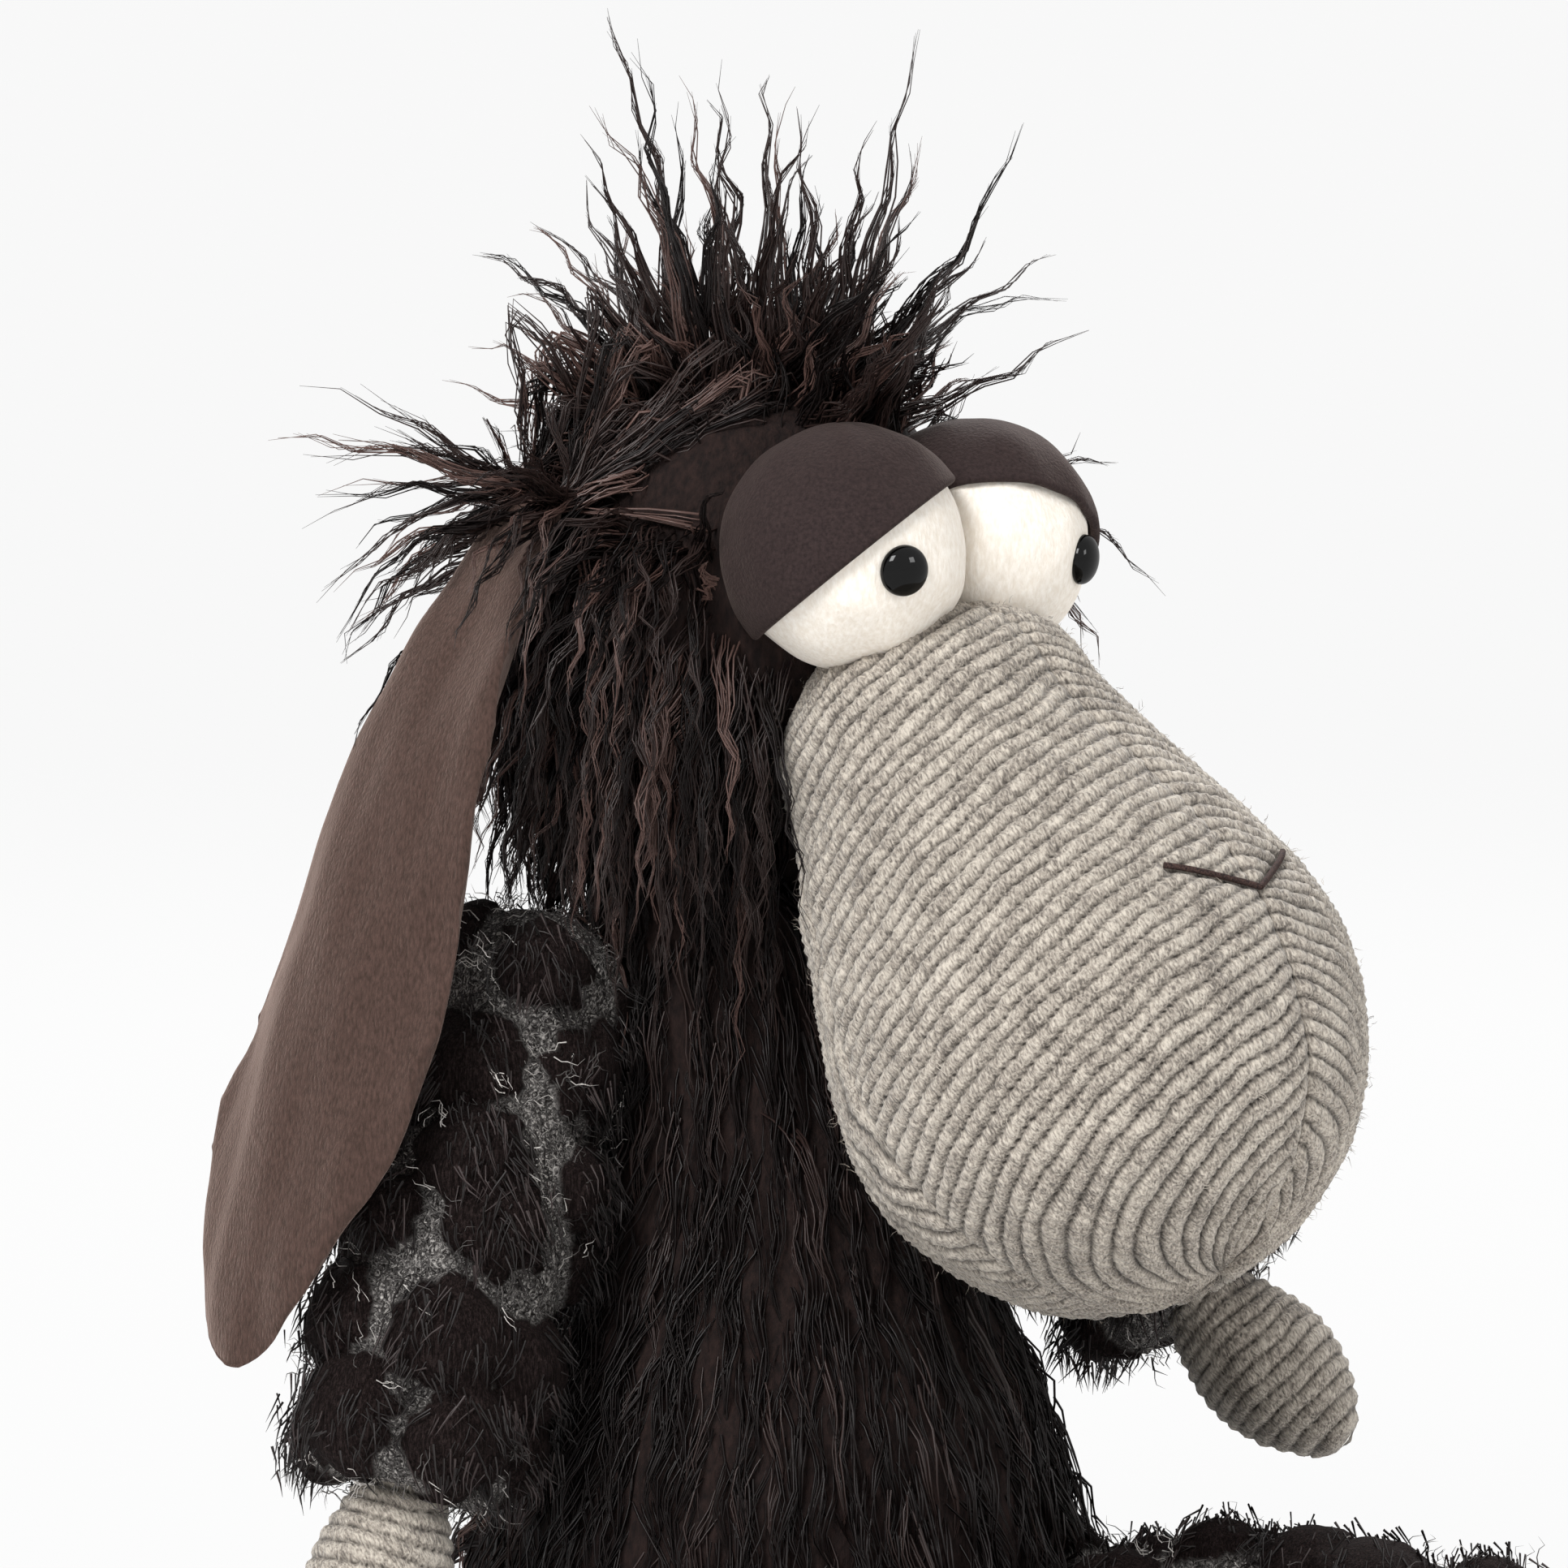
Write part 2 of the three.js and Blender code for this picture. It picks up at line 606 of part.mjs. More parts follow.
// One panel of an ear: a thin half lens, flat where it meets the other panel.
function earPanel(sign, faceSign) {
  const stations = earDropShares.map((share) => earStation(sign, share));
  const line = new THREE.CatmullRomCurve3(stations);
  const rings = earDropShares.map((share, index) => {
    const tangent = line.getTangent(index / (stations.length - 1));
    const across = point(0, 1, 0).addScaledVector(tangent, -tangent.y).normalize();
    const face = point(0, 0, 0).crossVectors(tangent, across).multiplyScalar(faceSign);
    const halfWidth = (ear.width / 2) * share.wide;
    const depth = (ear.thickness / 2) * share.thick - GAP / 2;
    return Array.from({ length: FACETS.ear + 1 }, (unused, step) => {
      const turn = (step / FACETS.ear) * HALF_TURN;
      return stations[index].clone()
        .addScaledVector(across, halfWidth * Math.cos(turn))
        .addScaledVector(face, GAP / 2 + depth * Math.sin(turn));
    });
  });
  return solidOf(skin(rings));
}

function buildEar(name, sign) {
  const room = headForm(-GAP);
  const outward = sign;
  addPiece(`ear_outer_${name}`, cutBy(earPanel(sign, outward), room), finishes.earPlush);
  addPiece(`ear_inner_${name}`, cutBy(earPanel(sign, -outward), room), finishes.earPlush);
}

// A limb that hangs down from the origin: a half ball at its root, then a swelling, tapering sleeve.
function hangingForm(size, shares, inset) {
  const end = size.length - (size.endGap ?? 0);
  const root = size.root - inset;
  const rings = [];
  for (let step = 1; step <= ROOT_STEPS; step += 1) {
    const turn = (step / ROOT_STEPS) * RIGHT_ANGLE;
    rings.push(limbRing(root * Math.cos(turn), root * Math.sin(turn)));
  }
  for (const share of shares) {
    const along = Math.min(share.along * end, end - inset);
    rings.push(limbRing(-along, Math.max(share.round * size.radius - inset, CLOTH / 2)));
  }
  return solidOf(skin(rings));
}

function limbRing(height, radius) {
  return levelOval(point(0, 0, height), radius, radius, FACETS.limb);
}

// The hollow at a limb's far end, for the ball of the hand or foot that hangs from it.
function endHollow(size, tipRoot, inset) {
  return hollowFor(point(0, 0, -size.length), tipRoot, inset);
}

function transformed(solid, placement) {
  return solidOf(geometryOf(solid).applyMatrix4(placement));
}

// A limb in two sections, each a cover with stuffing in it, joined at a soft seam.
function buildLimb(names, upper, upperShares, lower, lowerShares, placement) {
  const upperForm = (inset) => cutBy(
    hangingForm(upper, upperShares, inset),
    endHollow(upper, lower.root, inset),
  );
  const wrist = point(0, 0, -upper.length);
  const upperMouth = bar(point(0, 0, -upper.length / 2), wrist, upper.mouth);
  const upperCover = cutBy(upperForm(0), upperForm(CLOTH), upperMouth);
  addPiece(names.cover, transformed(upperCover, placement), names.coverFinish);
  addPiece(names.stuffing, transformed(upperForm(CLOTH + GAP), placement), finishes.stuffing);

  const lowerPlacement = placement.clone().multiply(new THREE.Matrix4().makeTranslation(wrist));
  const lowerMouth = bar(point(0, 0, 0), point(0, 0, lower.length), lower.mouth);
  const lowerCover = cutBy(
    hangingForm(lower, lowerShares, 0),
    hangingForm(lower, lowerShares, CLOTH),
    lowerMouth,
  );
  addPiece(names.tipCover, transformed(lowerCover, lowerPlacement), finishes.ribKnit);
  const lowerStuffing = hangingForm(lower, lowerShares, CLOTH + GAP);
  addPiece(names.tipStuffing, transformed(lowerStuffing, lowerPlacement), finishes.stuffing);
}

const radians = THREE.MathUtils.degToRad;

// Spread outward about Y, then raised forward about X, at the shoulder.
function armPlacement(sign, pose) {
  const raise = new THREE.Matrix4().makeRotationX(-radians(pose.raise));
  const spread = new THREE.Matrix4().makeRotationY(-sign * radians(pose.spread));
  const shoulder = new THREE.Matrix4().makeTranslation(shoulderOf(sign));
  return shoulder.multiply(raise).multiply(spread);
}

// Raised until it lies forward, then splayed about Z, at the hip.
function legPlacement(sign) {
  const raise = new THREE.Matrix4().makeRotationX(-radians(legPose.raise));
  const splay = new THREE.Matrix4().makeRotationZ(sign * radians(legPose.splay));
  const hip = new THREE.Matrix4().makeTranslation(hipOf(sign));
  return hip.multiply(splay).multiply(raise);
}

function buildArm(name, sign) {
  const names = {
    cover: `arm_cover_${name}`,
    stuffing: `arm_stuffing_${name}`,
    tipCover: `hand_cover_${name}`,
    tipStuffing: `hand_stuffing_${name}`,
    coverFinish: finishes.sleevePlush,
  };
  buildLimb(names, arm, armShares, hand, handShares, armPlacement(sign, armPose[name]));
}

function buildLeg(name, sign) {
  const names = {
    cover: `leg_cover_${name}`,
    stuffing: `leg_stuffing_${name}`,
    tipCover: `foot_cover_${name}`,
    tipStuffing: `foot_stuffing_${name}`,
    coverFinish: finishes.sleevePlush,
  };
  buildLimb(names, leg, legShares, foot, footShares, legPlacement(sign));
}

function buildTail() {
  const droop = new THREE.Matrix4().makeRotationX(radians(tail.droop + legPose.raise / 2));
  const root = new THREE.Matrix4().makeTranslation(tailRoot);
  addPiece('tail', transformed(hangingForm(tail, tailShares, 0), root.multiply(droop)), finishes.pile);
}

buildTorso();
buildNeckRoll();
buildHead();
buildCrown();
buildSnout();
buildTail();
for (const { name, sign } of SIDES) {
  buildEye(name, sign);
  buildMouth(name, sign);
  buildEar(name, sign);
  buildArm(name, sign);
  buildLeg(name, sign);
}

export default sheep;
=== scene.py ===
"""Plush sheep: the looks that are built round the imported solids, and the studio round them.

Every size is in millimetres until it reaches a mesh, which is in metres.
"""

import logging
import math
from dataclasses import dataclass, field
from enum import Enum
from typing import Callable

import bmesh
import bpy
import numpy as np
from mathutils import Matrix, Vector
from mathutils.bvhtree import BVHTree


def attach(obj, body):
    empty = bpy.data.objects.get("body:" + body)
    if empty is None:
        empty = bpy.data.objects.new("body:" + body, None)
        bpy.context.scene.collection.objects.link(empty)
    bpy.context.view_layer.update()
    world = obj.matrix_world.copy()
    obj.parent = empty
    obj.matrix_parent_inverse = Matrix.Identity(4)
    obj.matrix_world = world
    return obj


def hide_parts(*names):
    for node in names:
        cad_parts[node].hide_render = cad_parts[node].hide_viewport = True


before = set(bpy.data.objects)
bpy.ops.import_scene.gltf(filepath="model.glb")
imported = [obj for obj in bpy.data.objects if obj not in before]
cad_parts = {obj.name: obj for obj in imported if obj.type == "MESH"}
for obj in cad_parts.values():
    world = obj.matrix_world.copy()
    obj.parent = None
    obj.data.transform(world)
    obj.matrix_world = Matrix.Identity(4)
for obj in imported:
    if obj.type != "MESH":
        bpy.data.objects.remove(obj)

LOG = logging.getLogger("plush_sheep")
MM = 0.001
RIGHT, LEFT = -1, 1
SIDE_NAMES = {RIGHT: "right", LEFT: "left"}
UP = np.array([0.0, 0.0, 1.0])
DOWN = -UP
Array = np.ndarray


class Tone(Enum):
    """Colours of the cloths, piles and threads, and of painted shade and sheen, as sRGB hex."""

    PILE = "#2b1e1b"
    # Painted sheen: a lighter brown given to a share of the locks.
    PILE_SHEEN = "#5c4640"
    # Deep black, and the torso's painted shade where its locks take it most.
    PILE_DEEP = "#140d0c"
    EAR = "#523e38"
    EAR_FOLD = "#33251f"
    NAP_SHEEN = "#d2bbb0"
    LID = "#241b1b"
    LID_FLECK = "#382c2b"
    EYE = "#fdf8f0"
    EYE_SHADE = "#ece3d6"
    GLOSS = "#050505"
    WOOL = "#a79e93"
    WOOL_PALE = "#d3cabd"
    WOOL_DARK = "#6d665f"
    # Painted shade in the knit's grooves.
    WOOL_GROOVE_SHADE = "#3c3530"
    CURL = "#625f5d"
    CURL_PALE = "#d6d1cc"
    # Painted shade between the curls, and the colour of the dark curled fibre.
    CURL_DARK = "#1f1c1b"
    TUFT = "#1b1514"
    # Brown of some tufted fibres, and painted sheen in the streaks of the tufts' black cloth.
    TUFT_BROWN_SHEEN = "#352b2a"
    THREAD = "#131113"
    WADDING = "#f2f0ea"
    COTTON = "#d9d6cc"
    NYLON = "#e6e6e2"
    STUDIO = "#fafafa"


def linear(code: str) -> tuple[float, float, float, float]:
    """Turns an sRGB hex colour into linear light.

    Args:
        code: The colour, such as "#1d1719".

    Returns:
        Red, green, blue and an alpha of 1.
    """
    parts = [int(code[i : i + 2], 16) / 255 for i in (1, 3, 5)]
    lit = [c / 12.92 if c <= 0.04045 else ((c + 0.055) / 1.055) ** 2.4 for c in parts]
    return (lit[0], lit[1], lit[2], 1.0)


def add_node(
    tree: bpy.types.NodeTree,
    kind: str,
    settings: dict | None = None,
    links: dict | None = None,
) -> bpy.types.Node:
    """Adds one node with its settings and links.

    Args:
        tree: The shader or geometry tree that takes it.
        kind: The node's type name.
        settings: Values by property name, or by the name or number of an input.
        links: Output sockets by the name or number of the input that they feed.

    Returns:
        The new node.
    """
    node = tree.nodes.new(kind)
    for key, value in (settings or {}).items():
        if isinstance(key, int) or key in node.inputs:
            node.inputs[key].default_value = value
        else:
            setattr(node, key, value)
    for key, source in (links or {}).items():
        tree.links.new(source, node.inputs[key])
    return node


def new_material(name: str) -> tuple[bpy.types.Material, bpy.types.NodeTree, bpy.types.Node]:
    """Makes an empty material.

    Args:
        name: What the real material is called.

    Returns:
        The material, its tree and its Principled shader.
    """
    material = bpy.data.materials.new(name)
    material.use_nodes = True
    tree = material.node_tree
    tree.nodes.clear()
    shader = add_node(tree, "ShaderNodeBsdfPrincipled")
    add_node(tree, "ShaderNodeOutputMaterial", links={"Surface": shader.outputs["BSDF"]})
    return material, tree, shader


def object_noise(
    tree: bpy.types.NodeTree,
    size_mm: tuple[float, float, float],
    detail: float = 2.0,
    turn: tuple[float, float, float] = (0.0, 0.0, 0.0),
    swirl: float = 0.0,
) -> bpy.types.NodeSocket:
    """Noise on the piece's own coordinates, with grains of a real size.

    Args:
        tree: The material's tree.
        size_mm: How large one grain is along its own X, Y and Z.
        detail: Octaves of finer noise.
        turn: How the grain's axes are turned, in radians.
        swirl: How much the grains curl round each other.

    Returns:
        The noise's value, from 0 to 1.
    """
    place = add_node(tree, "ShaderNodeTexCoord")
    stretch = add_node(
        tree,
        "ShaderNodeMapping",
        settings={
            "vector_type": "TEXTURE",
            "Scale": tuple(s * MM for s in size_mm),
            "Rotation": turn,
        },
        links={"Vector": place.outputs["Object"]},
    )
    noise = add_node(
        tree,
        "ShaderNodeTexNoise",
        settings={"Scale": 1.0, "Detail": detail, "Roughness": 0.6, "Distortion": swirl},
        links={"Vector": stretch.outputs["Vector"]},
    )
    return noise.outputs["Fac"]


def two_tone(
    tree: bpy.types.NodeTree, share: bpy.types.NodeSocket, stops: list[tuple[float, Tone]]
) -> bpy.types.NodeSocket:
    """A ramp between tones.

    Args:
        tree: The material's tree.
        share: The value that picks the colour.
        stops: Places along the ramp and their tones, in order.

    Returns:
        The colour.
    """
    ramp = add_node(tree, "ShaderNodeValToRGB", links={"Fac": share})
    elements = ramp.color_ramp.elements
    while len(elements) < len(stops):
        elements.new(0.5)
    for element, (place, tone) in zip(elements, stops):
        element.position = place
        element.color = linear(tone.value)
    return ramp.outputs["Color"]


def relief(
    tree: bpy.types.NodeTree, shader: bpy.types.Node, height: bpy.types.NodeSocket, depth_mm: float
) -> None:
    """Lets a value raise the surface's shading by a real depth.

    Args:
        tree: The material's tree.
        shader: The Principled shader.
        height: The value from 0 to 1.
        depth_mm: How high 1 stands over 0.
    """
    bump = add_node(
        tree,
        "ShaderNodeBump",
        settings={"Strength": 1.0, "Distance": depth_mm * MM},
        links={"Height": height},
    )
    tree.links.new(bump.outputs["Normal"], shader.inputs["Normal"])


@dataclass(frozen=True)
class FibreFinish:
    """Loose fibres, which are too fine to hold a pattern of their own: acrylic pile, hair by hair."""

    name: str
    tone: Tone
    roughness: float = 0.42
    shine: float = 0.4

    def build(self) -> bpy.types.Material:
        """Makes the material: an even colour with the streaked gloss of a drawn fibre."""
        material, _, shader = new_material(self.name)
        shader.inputs["Base Color"].default_value = linear(self.tone.value)
        shader.inputs["Roughness"].default_value = self.roughness
        shader.inputs["Specular IOR Level"].default_value = self.shine
        return material


@dataclass(frozen=True)
class PlushFinish:
    """Short-pile cloth: a matt ground whose nap lies in small flecks and wrinkles."""

    name: str
    ground: Tone
    fleck: Tone
    fleck_mm: tuple[float, float, float]
    depth_mm: float
    sheen: float = 0.3
    roughness: float = 0.9

    def build(self) -> bpy.types.Material:
        """Makes the material: flecks of light and dark nap with the soft rim light of a pile."""
        material, tree, shader = new_material(self.name)
        nap = object_noise(tree, self.fleck_mm, 3.0)
        colour = two_tone(tree, nap, [(0.34, self.ground), (0.76, self.fleck)])
        tree.links.new(colour, shader.inputs["Base Color"])
        shader.inputs["Roughness"].default_value = self.roughness
        shader.inputs["Sheen Weight"].default_value = self.sheen
        shader.inputs["Sheen Roughness"].default_value = 0.5
        shader.inputs["Sheen Tint"].default_value = linear(Tone.NAP_SHEEN.value)
        shader.inputs["Specular IOR Level"].default_value = 0.2
        relief(tree, shader, nap, self.depth_mm)
        return material


@dataclass(frozen=True)
class WoolKnitFinish:
    """Melange wool rib knit: grey yarns of light and dark fibres, with painted shade down in the grooves.
    """

    name: str = "melange wool rib knit"
    fibre_turn: tuple[float, float, float] = (-0.635, 0.0, 0.0)

    def build(self) -> bpy.types.Material:
        """Makes the material: fibre flecks over the mesh's own ribs, which carry their depth, and painted
        shade in the grooves.
        """
        material, tree, shader = new_material(self.name)
        fibre = object_noise(tree, (0.55, 0.55, 1.7), 3.0, self.fibre_turn)
        patch = object_noise(tree, (7.0, 7.0, 7.0), 2.0)
        mixed = add_node(
            tree, "ShaderNodeMath", {"operation": "MULTIPLY_ADD", 1: 0.4}, {0: patch, 2: fibre}
        )
        yarn = two_tone(
            tree,
            mixed.outputs["Value"],
            [(0.52, Tone.WOOL_DARK), (0.68, Tone.WOOL), (0.86, Tone.WOOL_PALE)],
        )
        # Painted shade: the colour darkens where a point lies low in a groove or between loops.
        crest = add_node(tree, "ShaderNodeAttribute", {"attribute_name": "rib_crest"})
        depth = two_tone(
            tree, crest.outputs["Fac"], [(0.15, Tone.WOOL_GROOVE_SHADE), (0.7, Tone.STUDIO)]
        )
        shade = add_node(
            tree,
            "ShaderNodeMix",
            {"data_type": "RGBA", "blend_type": "MULTIPLY", 0: 0.9},
            {6: yarn, 7: depth},
        )
        tree.links.new(shade.outputs[2], shader.inputs["Base Color"])
        shader.inputs["Roughness"].default_value = 0.95
        shader.inputs["Sheen Weight"].default_value = 0.25
        shader.inputs["Specular IOR Level"].default_value = 0.15
        relief(tree, shader, fibre, 0.5)
        return material


@dataclass(frozen=True)
class TuftedFinish:
    """Curled grey plush whose tufts are black: the cloth under both, told apart by the skin."""

    name: str = "curled wool plush with black tufts"

    def build(self) -> bpy.types.Material:
        """Makes the material: matted curls with painted shade in their hollows, and a ragged edge to the
        black round each tuft, whose lighter streaks are painted sheen.
        """
        material, tree, shader = new_material(self.name)
        curl = object_noise(tree, (1.5, 1.5, 1.5), 3.0, swirl=2.2)
        # The near-black end of this ramp, in the hollows between the curls, is painted shade.
        grey = two_tone(
            tree, curl, [(0.36, Tone.CURL_DARK), (0.52, Tone.CURL), (0.68, Tone.CURL_PALE)]
        )
        fibre = object_noise(tree, (0.5, 0.5, 3.6), 2.0, swirl=0.6)
        # The black's lighter brown streaks stand for single hairs, and their lightness is painted sheen.
        black = two_tone(tree, fibre, [(0.42, Tone.PILE_DEEP), (0.72, Tone.TUFT_BROWN_SHEEN)])
        tuft = add_node(tree, "ShaderNodeAttribute", {"attribute_name": "tuft_share"})
        ragged = add_node(
            tree, "ShaderNodeMath", {"operation": "ADD"}, {0: tuft.outputs["Fac"], 1: curl}
        )
        edge = add_node(
            tree,
            "ShaderNodeMapRange",
            {"From Min": 0.75, "From Max": 1.05},
            {"Value": ragged.outputs[0]},
        )
        mixed = add_node(
            tree, "ShaderNodeMix", {"data_type": "RGBA"}, {0: edge.outputs[0], 6: grey, 7: black}
        )
        tree.links.new(mixed.outputs[2], shader.inputs["Base Color"])
        shader.inputs["Roughness"].default_value = 0.95
        shader.inputs["Specular IOR Level"].default_value = 0.1
        relief(tree, shader, curl, 1.6)
        return material


@dataclass(frozen=True)
class PolishedFinish:
    """Moulded acrylic or nylon, straight from a polished or plain mould."""

    name: str
    tone: Tone
    roughness: float
    coat: float = 0.0
    shine: float = 0.5

    def build(self) -> bpy.types.Material:
        """Makes the material: an even colour under a clear reflection."""
        material, _, shader = new_material(self.name)
        shader.inputs["Base Color"].default_value = linear(self.tone.value)
        shader.inputs["Roughness"].default_value = self.roughness
        shader.inputs["Specular IOR Level"].default_value = self.shine
        shader.inputs["Coat Weight"].default_value = self.coat
        shader.inputs["Coat Roughness"].default_value = 0.02
        return material


class Finishes:
    """All finishes of the sheep, each built once."""

    def __init__(self) -> None:
        """Builds the materials."""
        self.pile = [
            FibreFinish("acrylic long pile, black", Tone.PILE).build(),
            # The second fibre's lighter brown is painted sheen on a share of the locks.
            FibreFinish("acrylic long pile, brown with painted sheen", Tone.PILE_SHEEN, 0.36).build(),
            FibreFinish("acrylic long pile, deep black", Tone.PILE_DEEP, 0.42, 0.24).build(),
        ]
        self.backing = PlushFinish(
            "knitted pile backing", Tone.PILE_DEEP, Tone.PILE, (1.5, 1.5, 4.0), 0.8, 0.0
        ).build()
        self.ear = PlushFinish(
            "short minky plush, dark brown", Tone.EAR_FOLD, Tone.EAR, (0.7, 0.7, 2.4), 0.45, 0.6
        ).build()
        self.lid = PlushFinish(
            "short minky plush, black brown", Tone.LID, Tone.LID_FLECK, (0.9, 0.9, 0.9), 0.4, 0.12
        ).build()
        self.eye = PlushFinish(
            "velboa plush, cream", Tone.EYE_SHADE, Tone.EYE, (1.0, 1.0, 2.5), 0.25, 0.1
        ).build()
        self.gloss = PolishedFinish("moulded acrylic, black", Tone.GLOSS, 0.06, 0.45, 0.0).build()
        self.wool = WoolKnitFinish().build()
        self.wool_fuzz = [
            FibreFinish("loose wool fibre, grey", Tone.WOOL, 0.9, 0.1).build(),
            FibreFinish("loose wool fibre, pale", Tone.WOOL_PALE, 0.9, 0.1).build(),
            FibreFinish("loose wool fibre, dark", Tone.WOOL_DARK, 0.9, 0.1).build(),
        ]
        self.curl_ground = TuftedFinish().build()
        self.curls = [
            FibreFinish("curled wool fibre, grey", Tone.CURL, 0.7, 0.2).build(),
            FibreFinish("curled wool fibre, pale", Tone.CURL_PALE, 0.7, 0.2).build(),
            FibreFinish("curled wool fibre, dark", Tone.CURL_DARK, 0.7, 0.2).build(),
        ]
        self.tufts = [
            FibreFinish("tufted pile, black", Tone.TUFT, 0.5, 0.4).build(),
            FibreFinish("tufted pile, brown black", Tone.TUFT_BROWN_SHEEN, 0.5, 0.4).build(),
            FibreFinish("tufted pile, deep black", Tone.PILE_DEEP, 0.5, 0.4).build(),
        ]
        self.thread = PlushFinish(
            "cotton thread, black", Tone.THREAD, Tone.PILE_SHEEN, (0.4, 0.4, 0.4), 0.1, 0.0
        ).build()
        self.wadding = PlushFinish(
            "polyester wadding", Tone.COTTON, Tone.WADDING, (6.0, 6.0, 6.0), 1.0, 0.2
        ).build()
        self.pellets = PlushFinish(
            "cotton pellet bag", Tone.COTTON, Tone.WADDING, (3.0, 3.0, 3.0), 1.2, 0.1
        ).build()
        self.nylon = PolishedFinish("moulded nylon, natural", Tone.NYLON, 0.45).build()


def wander(points: Array, size_mm: float, seed: int) -> Array:
    """Smooth noise made of a few crossed waves.

    Args:
        points: Places in millimetres, one in each row.
        size_mm: About how far apart its hills are.
        seed: Picks the waves.

    Returns:
        A value for each point, mostly from -1 to 1.
    """
    rng = np.random.default_rng(seed)
    waves = rng.normal(size=(7, 3))
    waves *= (2 * math.pi / size_mm) / np.linalg.norm(waves, axis=1)[:, None]
    waves *= rng.uniform(0.6, 1.5, size=(7, 1))
    phases = rng.uniform(0, 2 * math.pi, size=7)
    return np.sin(points @ waves.T + phases).sum(axis=1) / 3.0


def unit(vectors: Array) -> Array:
    """Rows of length 1."""
    return vectors / np.maximum(np.linalg.norm(vectors, axis=-1, keepdims=True), 1e-9)


def coords(mesh: bpy.types.Mesh) -> Array:
    """A mesh's vertices in millimetres."""
    flat = np.zeros(len(mesh.vertices) * 3, np.float32)
    mesh.vertices.foreach_get("co", flat)
    return flat.reshape(-1, 3).astype(float) / MM


def set_coords(mesh: bpy.types.Mesh, points: Array) -> None:
    """Moves a mesh's vertices to places in millimetres."""
    mesh.vertices.foreach_set("co", (points * MM).astype(np.float32).ravel())
    mesh.update()


def normals(mesh: bpy.types.Mesh) -> Array:
    """A mesh's vertex normals."""
    flat = np.zeros(len(mesh.vertices) * 3, np.float32)
    mesh.vertices.foreach_get("normal", flat)
    return flat.reshape(-1, 3).astype(float)


def place_mesh(name: str, mesh: bpy.types.Mesh) -> bpy.types.Object:
    """Puts a mesh into the scene, unturned at the origin."""
    piece = bpy.data.objects.new(name, mesh)
    bpy.context.scene.collection.objects.link(piece)
    return piece


def mesh_from(name: str, points: Array, faces: list) -> bpy.types.Object:
    """Makes a smooth piece.

    Args:
        name: The piece's name.
        points: Vertices in millimetres.
        faces: The vertices of each face.

    Returns:
        The new object.
    """
    mesh = bpy.data.meshes.new(name)
    mesh.from_pydata((points * MM).tolist(), [], faces)
    mesh.shade_smooth()
    return place_mesh(name, mesh)


def settled(piece: bpy.types.Object) -> None:
    """Puts the result of a piece's modifiers into its mesh and removes them."""
    graph = bpy.context.evaluated_depsgraph_get()
    made = bpy.data.meshes.new_from_object(piece.evaluated_get(graph))
    piece.modifiers.clear()
    piece.data = made


def put_points(mesh: bpy.types.Mesh, name: str, values: Array) -> None:
    """Keeps one number for each vertex of a mesh under a name."""
    layer = mesh.attributes.new(name, "FLOAT", "POINT")
    layer.data.foreach_set("value", values.astype(np.float32))


def stacked_rings(rings: Array) -> list:
    """Faces of a tube of rings, closed by a point at each end.

    Args:
        rings: The rings, as rows, columns and coordinates. The two end points follow them.

    Returns:
        The faces, where point row times columns is the first end and the next the last.
    """
    rows, columns = rings.shape[:2]
    first, last = rows * columns, rows * columns + 1
    faces = []
    for c in range(columns):
        n = (c + 1) % columns
        faces.append((first, n, c))
        faces.append((last, (rows - 1) * columns + c, (rows - 1) * columns + n))
        for r in range(rows - 1):
            a, b = r * columns, (r + 1) * columns
            faces.append((a + c, a + n, b + n, b + c))
    return faces


def outer_skin(name: str, nodes: list[str], voxel_mm: float) -> bpy.types.Object:
    """One closed skin round some solids, without what lies inside them.

    Args:
        name: The new piece's name.
        nodes: The solids.
        voxel_mm: How fine the skin is, or 0 to keep the faces of a thin flat piece.

    Returns:
        The skin, as a new object.
    """
    shape = bmesh.new()
    for node in nodes:
        shape.from_mesh(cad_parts[node].data)
    bmesh.ops.remove_doubles(shape, verts=shape.verts, dist=1e-6)
    mesh = bpy.data.meshes.new(name)
    shape.to_mesh(mesh)
    shape.free()
    piece = place_mesh(name, mesh)
    if voxel_mm > 0:
        remesh = piece.modifiers.new("Voxels", "REMESH")
        remesh.mode = "VOXEL"
        remesh.voxel_size = voxel_mm * MM
        settled(piece)
        keep_largest_shell(piece.data)
    piece.data.shade_smooth()
    return piece


def keep_largest_shell(mesh: bpy.types.Mesh) -> None:
    """Deletes every separate shell of a mesh but the one with the most vertices."""
    shape = bmesh.new()
    shape.from_mesh(mesh)
    left, shells = set(shape.verts), []
    while left:
        reached, edge = set(), [left.pop()]
        while edge:
            vertex = edge.pop()
            reached.add(vertex)
            near = [e.other_vert(vertex) for e in vertex.link_edges]
            fresh = [v for v in near if v in left]
            left.difference_update(fresh)
            edge.extend(fresh)
        shells.append(reached)
    shells.sort(key=len)
    spare = [v for shell in shells[:-1] for v in shell]
    bmesh.ops.delete(shape, geom=spare, context="VERTS")
    shape.to_mesh(mesh)
    shape.free()


def relaxed(piece: bpy.types.Object, rounds: int) -> None:
    """Evens out a piece's surface and keeps its size."""
    smooth = piece.modifiers.new("Even", "CORRECTIVE_SMOOTH")
    smooth.iterations = rounds
    smooth.use_only_smooth = True
    settled(piece)


